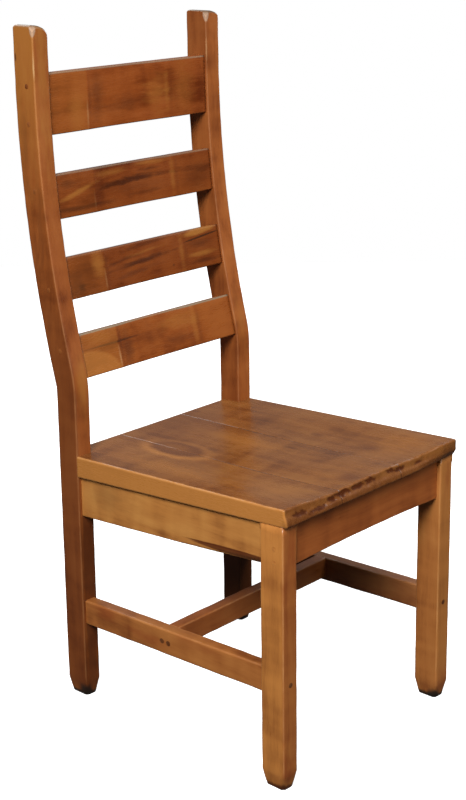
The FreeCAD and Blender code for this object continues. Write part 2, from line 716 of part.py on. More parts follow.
# Side aprons and side stretchers: rails with upright shoulders and sloping edges
def side_rail(name, sign, line, height, thickness, x):
    """A rail from a front leg to a back post, with a tenon at each end."""
    rail = doc.addObject("PartDesign::Body", f"{name}_timber")
    between = band(
        "(leg_depth + glue_gap)",
        f"({POST_FRONT} - glue_gap)",
        lowered(line, "glue_gap"),
        lowered(line, height),
    )
    pad(rail, f"{name}_sawn", polygon(rail, f"{name}_side", "YZ_Plane", between), thickness)
    outline = polygon(rail, f"{name}_tenons", "YZ_Plane", side_tenons(line, height))
    pad(rail, f"{name}_tenon_pad", outline, "tenon_thickness")
    move_piece(rail, f"{sign}{x}")
    return rail


for side, sign, way in SIDES:
    name = f"apron_{side}"
    rail = side_rail(name, sign, seat_under, "apron_height", "apron_thickness", SIDE_APRON_X)
    drilled(rail, name, [], [side_block_spot(end, sign, way) for end in ENDS])

    name = f"stretcher_{side}"
    rail = side_rail(
        name, sign, stretcher_line, "stretcher_height", "stretcher_thickness", STRETCHER_X
    )
    stub = cross_tenons(stretcher_line, "cross_height", CROSS_Y, "tenon_thickness", "glue_gap")
    depth = "(stub_length + glue_gap)"
    mortise(rail, "cross", stub, f"-({sign}1) * (stretcher_thickness / 2 - {depth} / 2)", depth)
    ends = [front_stretcher_spot(sign), rear_stretcher_spot(sign)]
    drilled(rail, name, ends + cross_spots(sign, way))


# Rails from side to side: front and rear apron and the cross stretcher
def cross_rail(name, line, height, middle, thickness, half_length, tenon):
    """A rail drawn by its section, with a tenon at each end."""
    rail = doc.addObject("PartDesign::Body", f"{name}_timber")
    section = band(
        f"({middle} - {thickness} / 2)",
        f"({middle} + {thickness} / 2)",
        lowered(line, "glue_gap"),
        lowered(line, height),
    )
    outline = polygon(rail, f"{name}_section", "YZ_Plane", section)
    pad(rail, f"{name}_sawn", outline, f"2 * ({half_length} - glue_gap)")
    tenons = cross_tenons(line, height, middle, "tenon_thickness")
    outline = polygon(rail, f"{name}_tenons", "YZ_Plane", tenons)
    pad(rail, f"{name}_tenon_pad", outline, f"2 * ({half_length} + {tenon})")
    move_piece(rail)
    return rail


for end, middle in (("front", FRONT_APRON_Y), ("rear", REAR_APRON_Y)):
    name = f"apron_{end}"
    rail = cross_rail(
        name, seat_under, "apron_height", middle, "apron_thickness", INNER_FACE, "tenon_length"
    )
    spots = []
    if end == "front":
        # The lower edge is a flat arch
        bow = f"(({INNER_FACE} ^ 2 + apron_arch ^ 2) / (2 * apron_arch))"
        centre_height = f"({seat_under(middle)} - apron_height + apron_arch - {bow})"
        arch = new_sketch(rail, f"{name}_arch", "XZ_Plane", f"-({middle})")
        centre = Vector(0, value(centre_height), 0)
        arch.addGeometry(Part.Circle(centre, Vector(0, 0, 1), value(bow)))
        arch.addConstraint(Sketcher.Constraint("PointOnObject", 0, 3, -2))
        for kind, places, formula in (
            ("Radius", (0,), bow),
            ("DistanceY", (0, 3), centre_height),
        ):
            number = arch.addConstraint(Sketcher.Constraint(kind, *places, value(formula)))
            arch.setExpression(f"Constraints[{number}]", sized(formula))
        pocket(rail, f"{name}_arched", arch, "2 * apron_thickness")
        spots = [spot for side, sign, way in SIDES for spot in apron_spots(sign, way)]
    drilled(rail, name, spots, [cross_block_spot(end, sign) for side, sign, way in SIDES])

rail = cross_rail(
    "stretcher_cross",
    stretcher_line,
    "cross_height",
    CROSS_Y,
    "cross_thickness",
    "(chair_width / 2 - stretcher_recess - stretcher_thickness)",
    "stub_length",
)
spots = [spot for side, sign, way in SIDES for spot in cross_spots(sign, way)]
drilled(rail, "stretcher_cross", spots)

# Corner blocks: notched round the leg, cut slantwise, their tops against the seat
for end in ENDS:
    for side, sign, way in SIDES:
        name = f"corner_block_{end}_{side}"
        block = doc.addObject("PartDesign::Body", f"{name}_timber")
        near = f"({CORNER_Y[end]} {INTO[end]} glue_gap)"
        far = f"({CORNER_Y[end]} {INTO[end]} block_reach)"
        outer = f"({CORNER_X} - glue_gap)"
        inner = f"({CORNER_X} - block_reach)"
        leg_face = "(leg_depth + glue_gap)" if end == "front" else f"({POST_FRONT} - glue_gap)"
        spread = (near, far) if end == "front" else (far, near)
        outline = band(*spread, lowered(seat_under, "glue_gap"), lowered(seat_under, "block_height"))
        middle = f"{sign}({outer} + {inner}) / 2"
        sketch = polygon(block, f"{name}_side", "YZ_Plane", outline, middle)
        pad(block, f"{name}_sawn", sketch, f"{outer} - {inner}")
        slant = [
            (f"{sign}{outer}", far),
            (f"{sign}{inner}", near),
            (f"{sign}{inner}", far),
        ]
        sketch = polygon(block, f"{name}_slant", "XY_Plane", slant)
        pocket(block, f"{name}_slant_cut", sketch, "2 * seat_height")
        notch = [
            (f"{sign}({INNER_FACE} - glue_gap)", near),
            (f"{sign}{outer}", near),
            (f"{sign}{outer}", leg_face),
            (f"{sign}({INNER_FACE} - glue_gap)", leg_face),
        ]
        sketch = polygon(block, f"{name}_notch", "XY_Plane", notch)
        pocket(block, f"{name}_notch_cut", sketch, "2 * seat_height")
        move_piece(block)
        screws = [side_block_spot(end, sign, way), cross_block_spot(end, sign)]
        drilled(block, name, [seat_spot(end, sign)], screws)


# Seat: three boards glued edge to edge, hollowed on top together
def hollow_seat(body, name, x, middle, depth, width, length):
    """Cut the bottom of a long shallow barrel that lies along the seat."""
    slope = f"atan(seat_fall / {SEAT_DEPTH})"
    radius = f"(({width} ^ 2 / 4 + {depth} ^ 2) / (2 * {depth}))"
    sketch = new_sketch(body, name, "YZ_Plane", x)

    def on_seat(along, over):
        """A point given along and over the sloping top of the seat."""
        across = f"{middle} + ({along}) * cos({slope}) + ({over}) * sin({slope})"
        up = f"{seat_top(middle)} - ({along}) * sin({slope}) + ({over}) * cos({slope})"
        return across, up

    corners = [
        on_seat(f"-{length} / 2", "0"),
        on_seat(f"{length} / 2", "0"),
        on_seat(f"{length} / 2", f"{radius} - {depth}"),
        on_seat(f"-{length} / 2", f"{radius} - {depth}"),
    ]
    lowest = on_seat("0", f"-{depth}")
    points = [Vector(value(across), value(up), 0) for across, up in corners]
    bottom = Vector(value(lowest[0]), value(lowest[1]), 0)
    sketch.addGeometry(Part.Arc(points[0], bottom, points[1]))
    sketch.addGeometry(Part.LineSegment(points[1], points[2]))
    sketch.addGeometry(Part.LineSegment(points[2], points[3]))
    sketch.addGeometry(Part.LineSegment(points[3], points[0]))
    axis = sketch.addGeometry(Part.LineSegment(points[2], points[3]), True)
    sketch.addConstraint(Sketcher.Constraint("Coincident", 0, 2, 1, 1))
    sketch.addConstraint(Sketcher.Constraint("Coincident", 1, 2, 2, 1))
    sketch.addConstraint(Sketcher.Constraint("Coincident", 2, 2, 3, 1))
    sketch.addConstraint(Sketcher.Constraint("Coincident", 3, 2, 0, 1))
    sketch.addConstraint(Sketcher.Constraint("Coincident", axis, 1, 2, 1))
    sketch.addConstraint(Sketcher.Constraint("Coincident", axis, 2, 2, 2))
    fix_point(sketch, 0, 1, *corners[0])
    fix_point(sketch, 1, 1, *corners[1])
    fix_point(sketch, 2, 1, *corners[2])
    fix_point(sketch, 3, 1, *corners[3])
    bend = f"({length} ^ 2 / 4 + {depth} ^ 2) / (2 * {depth})"
    number = sketch.addConstraint(Sketcher.Constraint("Radius", 0, value(bend)))
    sketch.setExpression(f"Constraints[{number}]", sized(bend))
    doc.recompute()
    before = body.Shape.Volume
    feature = body.newObject("PartDesign::Groove", f"{name}_cut")
    feature.Profile = sketch
    feature.ReferenceAxis = (sketch, ["Axis0"])
    feature.Angle = 20
    feature.Midplane = True
    doc.recompute()
    if feature.Shape.Volume > before - 1:
        raise RuntimeError(f"{name} hollows nothing")


LEFT_GLUE_X = "(chair_width * (left_board_share - 0.5))"
RIGHT_GLUE_X = "(chair_width * (0.5 - right_board_share))"
BOARDS = (
    ("left", "-chair_width / 2", LEFT_GLUE_X, ("-",)),
    ("middle", LEFT_GLUE_X, RIGHT_GLUE_X, ("-", "")),
    ("right", RIGHT_GLUE_X, "chair_width / 2", ("",)),
)
DISH = {
    "middle": f"(dish_share * {SEAT_REAR})",
    "depth": "dish_depth",
    "width": "(chair_width - 2 * dish_side_margin)",
    "length": f"(2 * ({SEAT_REAR} * (1 - dish_share) - dish_rear_margin))",
}
THIGH_WIDTH = "(chair_width / 2 - thigh_side_margin - thigh_parting / 2)"
THIGH_X = f"(thigh_parting / 2 + {THIGH_WIDTH} / 2)"
THIGH = {
    "middle": f"(thigh_share * {SEAT_REAR})",
    "depth": "thigh_depth",
    "width": THIGH_WIDTH,
    "length": f"(2 * thigh_reach_share * {SEAT_REAR})",
}
for place, low_x, high_x, thighs in BOARDS:
    name = f"seat_board_{place}"
    board = doc.addObject("PartDesign::Body", f"{name}_timber")
    lower_front = "-seat_overhang"
    upper_front = "(seat_front_slant - seat_overhang)"
    outline = [
        (SEAT_REAR, seat_under(SEAT_REAR)),
        (SEAT_REAR, seat_top(SEAT_REAR)),
        (upper_front, seat_top(upper_front)),
        (lower_front, seat_under(lower_front)),
    ]
    sketch = polygon(board, f"{name}_side", "YZ_Plane", outline, f"({low_x} + {high_x}) / 2")
    pad(board, f"{name}_sawn", sketch, f"{high_x} - ({low_x}) - glue_gap")
    outer_face = value("chair_width / 2 - glue_gap")

    def seat_edge(edge):
        """Edges of the whole seat, not those along the glue lines."""
        return runs_along(edge, 0) or abs(edge.CenterOfMass.x) > outer_face - 1

    ease_edges(board, f"{name}_edges", "seat_edge_ease", seat_edge)
    hollow_seat(board, f"{name}_dish", "0", **DISH)
    for sign in thighs:
        label = f"{name}_{'left' if sign else 'right'}_thigh"
        hollow_seat(board, label, f"{sign}{THIGH_X}", **THIGH)
    spots = []
    if place != "middle":
        sign = "-" if place == "left" else ""
        notch = [
            (f"{sign}({INNER_FACE} - glue_gap)", f"({POST_FRONT} - glue_gap)"),
            (f"{sign}(chair_width / 2 + 1)", f"({POST_FRONT} - glue_gap)"),
            (f"{sign}(chair_width / 2 + 1)", f"({SEAT_REAR} + 1)"),
            (f"{sign}({INNER_FACE} - glue_gap)", f"({SEAT_REAR} + 1)"),
        ]
        sketch = polygon(board, f"{name}_notch", "XY_Plane", notch)
        pocket(board, f"{name}_notch_cut", sketch, "3 * seat_height")
        spots = [seat_spot(end, sign) for end in ENDS]
    move_piece(board)
    if spots:
        drilled(board, name, spots)
    else:
        board.Label = name
        pieces.append(board)

# Screws and plugs
slat_places = [spot for side, sign, way in SIDES for slat in SLATS for spot in slat_spots(slat, sign, way)]
stretcher_places = []
cross_places = []
apron_places = []
for side, sign, way in SIDES:
    stretcher_places += [front_stretcher_spot(sign), rear_stretcher_spot(sign)]
    cross_places += cross_spots(sign, way)
    apron_places += apron_spots(sign, way)
PLUGGED = (
    ("slat", slat_places),
    ("stretcher", stretcher_places),
    ("cross", cross_places),
    ("apron", apron_places),
)
for kind, places in PLUGGED:
    group(long_screw, f"{kind}_screws", places)
    group(plug, f"{kind}_plugs", places)
group(long_screw, "seat_screws", [seat_spot(end, sign) for end in ENDS for side, sign, way in SIDES])
block_places = []
for end in ENDS:
    for side, sign, way in SIDES:
        block_places += [side_block_spot(end, sign, way), cross_block_spot(end, sign)]
group(short_screw, "block_screws", block_places)

# Check every object, then write one file for each piece
doc.recompute()
for item in doc.Objects:
    if "Invalid" in item.State or "Error" in item.State:
        raise RuntimeError(f"{item.Label} failed: {item.State}")
for piece in pieces:
    if piece.Shape.isNull() or not piece.Shape.isValid():
        raise RuntimeError(f"{piece.Label} has no valid shape")
os.makedirs("parts", exist_ok=True)
for piece in pieces:
    piece.Shape.exportStep(f"parts/{piece.Label}.step")
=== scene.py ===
import math

import bmesh
import bpy
from mathutils import Matrix, Vector, noise


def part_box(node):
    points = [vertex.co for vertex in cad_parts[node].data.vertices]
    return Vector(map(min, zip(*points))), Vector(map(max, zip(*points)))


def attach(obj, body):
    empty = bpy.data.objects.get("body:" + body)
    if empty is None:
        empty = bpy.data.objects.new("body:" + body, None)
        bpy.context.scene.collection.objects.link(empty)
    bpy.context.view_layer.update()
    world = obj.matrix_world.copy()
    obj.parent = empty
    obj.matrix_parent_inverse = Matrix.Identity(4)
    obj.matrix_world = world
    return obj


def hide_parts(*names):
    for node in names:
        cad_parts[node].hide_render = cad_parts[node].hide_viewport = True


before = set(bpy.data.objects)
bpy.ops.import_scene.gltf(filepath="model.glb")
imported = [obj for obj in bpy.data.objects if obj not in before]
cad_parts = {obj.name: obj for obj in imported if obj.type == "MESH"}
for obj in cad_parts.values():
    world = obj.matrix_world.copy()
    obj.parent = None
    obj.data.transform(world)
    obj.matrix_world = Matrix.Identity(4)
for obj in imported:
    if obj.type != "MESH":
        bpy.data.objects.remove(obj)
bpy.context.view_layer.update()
scene = bpy.context.scene
scene.view_settings.view_transform = "Standard"

# Camera: stands off the chair's front left corner, a little over the posts' tops,
# and looks down on the seat.
front_legs_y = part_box("front_leg_left")[0][1]
camera_spot = Vector((-1.7772, front_legs_y - 1.3873, 1.3002))
heading = 0.815
down = 0.262
roll = -0.013
focal_pixels = 1573.57
frame_pixels = 800
sensor = 36
forward = Vector((
    math.sin(heading) * math.cos(down),
    math.cos(heading) * math.cos(down),
    -math.sin(down),
))
level_right = Vector((math.cos(heading), -math.sin(heading), 0))
level_up = level_right.cross(forward)
camera_right = math.cos(roll) * level_right + math.sin(roll) * level_up
camera_up = math.cos(roll) * level_up - math.sin(roll) * level_right
camera_data = bpy.data.cameras.new("camera")
camera_data.sensor_width = sensor
camera_data.lens = focal_pixels * sensor / frame_pixels
camera_data.shift_y = -0.1
camera = bpy.data.objects.new("camera", camera_data)
turned = Matrix((camera_right, camera_up, -forward)).transposed().to_4x4()
camera.matrix_world = Matrix.Translation(camera_spot) @ turned
scene.collection.objects.link(camera)
scene.camera = camera


# Studio: a white floor and backdrop in a dark room, with one soft lamp high on the left
# and weak ones in front, behind and on the right. The camera sees floor and backdrop as
# white, the floor keeps a shadow, and the backdrop lets a view from behind it through.
def put(tree, kind, feeds=(), **settings):
    """A shader node, its sockets fed by plain values or by other nodes' outputs."""
    made = tree.nodes.new("ShaderNode" + kind)
    for name, setting in settings.items():
        setattr(made, name, setting)
    for socket, feed in dict(feeds).items():
        if isinstance(feed, bpy.types.NodeSocket):
            tree.links.new(feed, made.inputs[socket])
        else:
            made.inputs[socket].default_value = feed
    return made


def worked(tree, operation, first, second, kind="Math"):
    """The result of one operation on two values, or on two vectors."""
    return put(tree, kind, {0: first, 1: second}, operation=operation).outputs[0]


def rgb(red, green, blue):
    """A colour for a node's socket."""
    return (red, green, blue, 1)


def bare_tree(owner):
    """The emptied node tree of a world or a material."""
    owner.use_nodes = True
    owner.node_tree.nodes.clear()
    return owner.node_tree


STUDIO_LIGHT = 0.045
STUDIO_MIRRORED = 0.08
BACKDROP_MIRRORED = 0.18
FLOOR_GLOW = 0.92
WALL_AWAY = 3.2
WHITE = rgb(1, 1, 1)


def pale_glow(tree, mirrored):
    """A strength that is white to the camera, dim on the chair and fuller in its gloss."""
    path = put(tree, "LightPath").outputs
    seen = worked(tree, "MAXIMUM", path["Is Camera Ray"], path["Is Transmission Ray"])
    dim = put(tree, "Mix", {0: path["Is Glossy Ray"], 2: STUDIO_LIGHT, 3: mirrored})
    return put(tree, "Mix", {0: seen, 2: dim.outputs[0], 3: 1.0}).outputs[0]


scene.world = bpy.data.worlds.new("studio")
tree = bare_tree(scene.world)
sky = put(tree, "Background", {"Color": WHITE, "Strength": pale_glow(tree, STUDIO_MIRRORED)})
put(tree, "OutputWorld", {"Surface": sky.outputs[0]})

bpy.ops.object.select_all(action="DESELECT")
bpy.ops.mesh.primitive_plane_add(size=80)
floor = bpy.context.object
floor.name = "floor"
floor_paint = bpy.data.materials.new("floor_paint")
tree = bare_tree(floor_paint)
pale = put(tree, "BsdfDiffuse", {"Color": rgb(0.9, 0.9, 0.9)})
glow = put(tree, "Emission", {"Color": WHITE, "Strength": FLOOR_GLOW})
bright = put(tree, "AddShader", {0: pale.outputs[0], 1: glow.outputs[0]})
plain = put(tree, "BsdfDiffuse", {"Color": rgb(0.05, 0.046, 0.042)})
seen = put(tree, "LightPath").outputs["Is Camera Ray"]
look = put(tree, "MixShader", {0: seen, 1: plain.outputs[0], 2: bright.outputs[0]})
put(tree, "OutputMaterial", {"Surface": look.outputs[0]})
floor.data.materials.append(floor_paint)

bpy.ops.object.select_all(action="DESELECT")
bpy.ops.mesh.primitive_plane_add(size=30, rotation=(math.pi / 2, 0, -heading))
backdrop_wall = bpy.context.object
backdrop_wall.name = "backdrop"
backdrop_wall.location = WALL_AWAY * Vector((math.sin(heading), math.cos(heading), 0))
wall_paint = bpy.data.materials.new("wall_paint")
tree = bare_tree(wall_paint)
wall_glow = put(tree, "Emission", {"Color": WHITE, "Strength": pale_glow(tree, BACKDROP_MIRRORED)})
behind = put(tree, "NewGeometry").outputs["Backfacing"]
through = put(tree, "BsdfTransparent")
look = put(tree, "MixShader", {0: behind, 1: wall_glow.outputs[0], 2: through.outputs[0]})
put(tree, "OutputMaterial", {"Surface": look.outputs[0]})
backdrop_wall.data.materials.append(wall_paint)

LAMPS = (
    ("key_lamp", (-2.6, -1.45, 2.95), 1.5, 190),
    ("front_lamp", (0.8, -2.7, 2.6), 2.0, 44),
    ("rear_lamp", (0.4, 2.7, 2.7), 2.0, 46),
    ("right_lamp", (3.0, 0.6, 1.3), 1.2, 26),
)
chair_middle = Vector((0, 0, 0.6))
for name, spot, size, power in LAMPS:
    lamp_data = bpy.data.lights.new(name, "AREA")
    lamp_data.size = size
    lamp_data.energy = power
    lamp = bpy.data.objects.new(name, lamp_data)
    aim = (chair_middle - Vector(spot)).to_track_quat("-Z", "Y")
    lamp.matrix_world = Matrix.Translation(spot) @ aim.to_matrix().to_4x4()
    scene.collection.objects.link(lamp)


# Back posts: maple sawn upright below the seat and to one long curve above it, every
# edge eased by hand, the tops rounded and the feet cut to blunt points. Stained an uneven
# amber brown and varnished, with the stain rubbed thin along the edges and a painted
# highlight laid along them.
def new_group(name, takes, gives):
    """A node group with named inputs and outputs."""
    group = bpy.data.node_groups.new(name, "ShaderNodeTree")
    for socket, kind, plain_value in takes:
        made = group.interface.new_socket(socket, in_out="INPUT", socket_type="NodeSocket" + kind)
        made.default_value = plain_value
    for socket, kind in gives:
        group.interface.new_socket(socket, in_out="OUTPUT", socket_type="NodeSocket" + kind)
    return group, group.nodes.new("NodeGroupInput").outputs, group.nodes.new("NodeGroupOutput").inputs


def stretched(tree, place, along, across, depth, detail, seed=0.0):
    """Noise drawn out along the grain: how many features a metre along and across it."""
    spot = put(tree, "Mapping", {"Vector": place, "Scale": (along, across, across),
                                 "Location": (seed, seed * 1.7, seed * 0.6)})
    return put(tree, "TexNoise", {"Vector": spot.outputs[0], "Scale": 1.0, "Detail": detail,
                                  "Roughness": depth}).outputs[0]


def centred(tree, value, strength):
    """A noise's value about its middle, times a strength."""
    return worked(tree, "MULTIPLY", worked(tree, "SUBTRACT", value, 0.5), strength)


def total(tree, *values):
    """The sum of several values."""
    result = values[0]
    for value in values[1:]:
        result = worked(tree, "ADD", result, value)
    return result


def mixed(tree, share, first, second):
    """One colour over another, by a share."""
    return put(tree, "Mix", {0: share, 6: first, 7: second}, data_type="RGBA").outputs[2]


maple_figure, takes, gives = new_group(
    "maple_figure",
    (
        ("Place", "Vector", (0, 0, 0)),
        ("Dark", "Color", rgb(0.15, 0.04, 0.01)),
        ("Middle", "Color", rgb(0.28, 0.1, 0.024)),
        ("Light", "Color", rgb(0.4, 0.17, 0.045)),
        ("Blotches", "Float", 1.0),
        ("Streaks", "Float", 1.0),
        ("Curl", "Float", 1.0),
        ("Tone", "Float", 0.5),
        ("Dullness", "Float", 0.34),
    ),
    (("Color", "Color"), ("Height", "Float"), ("Gloss", "Float")),
)
tree = maple_figure
drift = put(tree, "TexNoise", {"Vector": takes["Place"], "Scale": 5.0, "Detail": 2.0}).outputs["Color"]
drift = worked(tree, "SUBTRACT", drift, (0.5, 0.5, 0.5), "VectorMath")
drift = worked(tree, "MULTIPLY", drift, (0.05, 0.02, 0.02), "VectorMath")
place = worked(tree, "ADD", takes["Place"], drift, "VectorMath")
wide = stretched(tree, place, 3.0, 9.0, 0.5, 1.0)
blotch = stretched(tree, place, 8.0, 24.0, 0.58, 4.0, 3.1)
streak = stretched(tree, place, 5.0, 210.0, 0.6, 4.0, 7.7)
line = stretched(tree, place, 2.5, 62.0, 0.55, 3.0, 1.3)
curl = stretched(tree, place, 36.0, 6.0, 0.4, 2.0, 5.9)
speck = stretched(tree, place, 90.0, 900.0, 0.5, 1.0, 2.2)
blotches = worked(tree, "MULTIPLY", centred(tree, blotch, 1.9), takes["Blotches"])
wide_tone = worked(tree, "MULTIPLY", centred(tree, wide, 1.3), takes["Blotches"])
streaks = total(tree, centred(tree, streak, 0.4), centred(tree, line, 0.7))
streaks = worked(tree, "MULTIPLY", streaks, takes["Streaks"])
curls = worked(tree, "MULTIPLY", centred(tree, curl, 0.8), takes["Curl"])
tone = total(tree, takes["Tone"], blotches, wide_tone, streaks, curls, centred(tree, speck, 0.25))
low = put(tree, "MapRange", {"Value": tone, "From Min": 0.0, "From Max": 0.5})
high = put(tree, "MapRange", {"Value": tone, "From Min": 0.5, "From Max": 1.0})
colour = mixed(tree, low.outputs[0], takes["Dark"], takes["Middle"])
colour = mixed(tree, high.outputs[0], colour, takes["Light"])
tree.links.new(colour, gives["Color"])
height = total(tree, centred(tree, streak, 0.5), centred(tree, speck, 0.35), centred(tree, blotch, 1.2))
tree.links.new(height, gives["Height"])
gloss = total(tree, takes["Dullness"], centred(tree, blotch, 0.3), centred(tree, speck, 0.2))
tree.links.new(gloss, gives["Gloss"])

# Eased edges turn lighter: partly the stain worn thin, partly a painted highlight on the rounding.
rubbed_edge_and_highlight, takes, gives = new_group(
    "rubbed_edge_and_highlight",
    (("Place", "Vector", (0, 0, 0)), ("Edge", "Float", 0.0), ("RubbingAndHighlight", "Float", 1.0)),
    (("Mask", "Float"),),
)
tree = rubbed_edge_and_highlight
patchy = put(tree, "TexNoise", {"Vector": takes["Place"], "Scale": 28.0, "Detail": 4.0, "Roughness": 0.6})
patchy = put(tree, "MapRange", {"Value": patchy.outputs[0], "From Min": 0.34, "From Max": 0.62,
                                "To Min": 0.25, "To Max": 1.0})
mask = worked(tree, "MULTIPLY", takes["Edge"], patchy.outputs[0])
tree.links.new(worked(tree, "MULTIPLY", mask, takes["RubbingAndHighlight"]), gives["Mask"])

wood_mark, takes, gives = new_group(
    "wood_mark",
    (
        ("Place", "Vector", (0, 0, 0)),
        ("Grain", "Vector", (0, 0, 0)),
        ("Centre", "Vector", (0, 0, 0)),
        ("Reach", "Vector", (1, 1, 1)),
        ("Raggedness", "Float", 0.3),
        ("Softness", "Float", 0.5),
        ("Slant", "Vector", (0, 0, 0)),
    ),
    (("Mask", "Float"),),
)
tree = wood_mark
from_centre = worked(tree, "SUBTRACT", takes["Place"], takes["Centre"], "VectorMath")
sideways = put(tree, "VectorMath", {0: from_centre, 1: takes["Slant"]}, operation="DOT_PRODUCT")
lifted = put(tree, "CombineXYZ", {"Z": sideways.outputs["Value"]})
level = worked(tree, "SUBTRACT", from_centre, lifted.outputs[0], "VectorMath")
scaled = worked(tree, "DIVIDE", level, takes["Reach"], "VectorMath")
distance = put(tree, "VectorMath", {0: scaled}, operation="LENGTH").outputs["Value"]
ragged = stretched(tree, takes["Grain"], 28.0, 120.0, 0.6, 4.0, 4.4)
ragged = worked(tree, "MULTIPLY", centred(tree, ragged, 3.4), takes["Raggedness"])
distance = worked(tree, "ADD", distance, ragged)
start = worked(tree, "SUBTRACT", 1.0, takes["Softness"])
mask = put(tree, "MapRange", {"Value": distance, "From Min": start, "From Max": 1.0, "To Min": 1.0,
                              "To Max": 0.0}, interpolation_type="SMOOTHSTEP")
tree.links.new(mask.outputs[0], gives["Mask"])

ALONG = {"x": (0, 0, 0), "y": (0, 0, -math.pi / 2), "z": (0, math.pi / 2, 0)}
RUBBED_AND_HIGHLIGHT = rgb(0.6, 0.33, 0.13)
SOOT = rgb(0.022, 0.016, 0.012)
BARK = rgb(0.07, 0.02, 0.006)
RING = rgb(0.06, 0.02, 0.009)
UMBER = rgb(0.105, 0.027, 0.008)
STREAK_AND_SHADE = rgb(0.07, 0.016, 0.004)
OCHRE = rgb(0.37, 0.138, 0.026)
CREAM = rgb(0.62, 0.4, 0.19)
PAINTED_FACET_HIGHLIGHT = rgb(0.48, 0.32, 0.22)
ANY = 9.0


def tones(red, green, blue):
    """Dark, middle and light of one stain, from its middle."""
    dark = rgb(red * 0.5, green * 0.4, blue * 0.38)
    light = rgb(red * 1.25, green * 1.4, blue * 1.5)
    return dark, rgb(red, green, blue), light


def stained(name, grain, shift, tones, marks=(), blotches=1.0, curl=1.0,
            dullness=0.36, rubbing_and_highlight=0.35, painted=None):
    """Stained and varnished maple: its grain along x, y or z, its marks and its painted part."""
    wood = bpy.data.materials.new(name)
    wood.use_nodes = True
    tree = wood.node_tree
    shader = tree.nodes["Principled BSDF"]
    spot = put(tree, "TexCoord").outputs["Object"]
    place = put(tree, "Mapping", {"Vector": spot, "Rotation": ALONG[grain], "Location": shift})
    place = place.outputs[0]
    dark, middle, light = tones
    figure = put(tree, "Group", {
        "Place": place, "Dark": dark, "Middle": middle, "Light": light, "Blotches": blotches,
        "Curl": curl, "Dullness": dullness,
    }, node_tree=maple_figure)
    colour = figure.outputs["Color"]
    for centre, reach, mark_colour, strength, raggedness, softness, *slant in marks:
        mark = put(tree, "Group", {
            "Place": spot, "Grain": place, "Centre": centre, "Reach": reach,
            "Raggedness": raggedness, "Softness": softness, "Slant": slant[0] if slant else (0, 0, 0),
        }, node_tree=wood_mark)
        colour = mixed(tree, worked(tree, "MULTIPLY", mark.outputs[0], strength), colour, mark_colour)
    if painted:
        mask = put(tree, "Attribute", attribute_name="painted").outputs["Fac"]
        colour = mixed(tree, mask, colour, painted)
    # The lighter edges are worn stain and a painted highlight together.
    edge = put(tree, "Attribute", attribute_name="edge").outputs["Fac"]
    rub = put(tree, "Group", {"Place": spot, "Edge": edge, "RubbingAndHighlight": rubbing_and_highlight}, node_tree=rubbed_edge_and_highlight)
    colour = mixed(tree, rub.outputs[0], colour, RUBBED_AND_HIGHLIGHT)
    tree.links.new(colour, shader.inputs["Base Color"])
    tree.links.new(figure.outputs["Gloss"], shader.inputs["Roughness"])
    relief = put(tree, "Bump", {"Height": figure.outputs["Height"], "Strength": 0.3, "Distance": 0.0006})
    tree.links.new(relief.outputs[0], shader.inputs["Normal"])
    return wood


def loose_parts(node):
    """Lowest and highest corner of each separate solid of a CAD node."""
    solid = bmesh.new()
    solid.from_mesh(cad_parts[node].data)
    bmesh.ops.remove_doubles(solid, verts=solid.verts, dist=1e-6)
    unseen = set(solid.verts)
    parts = []
    while unseen:
        island = {unseen.pop()}
        front = list(island)
        while front:
            for edge in front.pop().link_edges:
                for corner in edge.verts:
                    if corner in unseen:
                        unseen.discard(corner)
                        island.add(corner)
                        front.append(corner)
        spans = [[corner.co[axis] for corner in island] for axis in range(3)]
        parts.append((Vector([min(span) for span in spans]), Vector([max(span) for span in spans])))
    solid.free()
    return sorted(parts, key=lambda part: tuple(part[0]))


def plug_rings(node, wanted, strength=0.6):
    """Dark glue rings in the timber round the plugs of a CAD node."""
    rings = []
    for low, high in loose_parts(node):
        middle = (low + high) / 2
        if wanted(middle):
            rings.append((tuple(middle), (0.0053, 0.0053, 0.0053), RING, strength, 0.25, 0.25))
    return rings


def open_up(block):
    """Go into edit mode to work by edges, with a note on each corner of how rounded it is."""
    bpy.ops.object.mode_set(mode="EDIT")
    scene.tool_settings.mesh_select_mode = (False, True, False)
    mesh = bmesh.from_edit_mesh(block.data)
    mesh.verts.layers.float.new("edge")
    bmesh.update_edit_mesh(block.data)


def start_block(name, low, high):
    """A block of timber between two corners, left in edit mode."""
    bpy.ops.object.select_all(action="DESELECT")
    middle = (Vector(low) + Vector(high)) / 2
    bpy.ops.mesh.primitive_cube_add(size=1, location=middle, scale=Vector(high) - Vector(low))
    bpy.ops.object.transform_apply(location=True, rotation=True, scale=True)
    block = bpy.context.object
    block.name = name
    block.data.name = name
    open_up(block)
    return block


def pick_edges(block, wanted):
    """Select the edges that wanted(edge) names, and nothing else."""
    bpy.ops.mesh.select_all(action="DESELECT")
    mesh = bmesh.from_edit_mesh(block.data)
    for edge in mesh.edges:
        if wanted(edge):
            edge.select_set(True)
    bmesh.update_edit_mesh(block.data)


def lies_along(edge, axis):
    """Whether an edge lies along x, y or z (0, 1 or 2)."""
    run = edge.verts[1].co - edge.verts[0].co
    return abs(run[axis]) > 0.999 * run.length


def mark_off(block, axis, cuts):
    """Cut the whole block across x, y or z into equal lengths."""
    pick_edges(block, lambda edge: lies_along(edge, axis))
    bpy.ops.mesh.subdivide(number_cuts=cuts)


def shape(block, form):
    """Move each corner of the mesh to where form(corner) says."""
    mesh = bmesh.from_edit_mesh(block.data)
    for corner in mesh.verts:
        corner.co = form(corner.co.copy())
    mesh.normal_update()
    bmesh.update_edit_mesh(block.data)


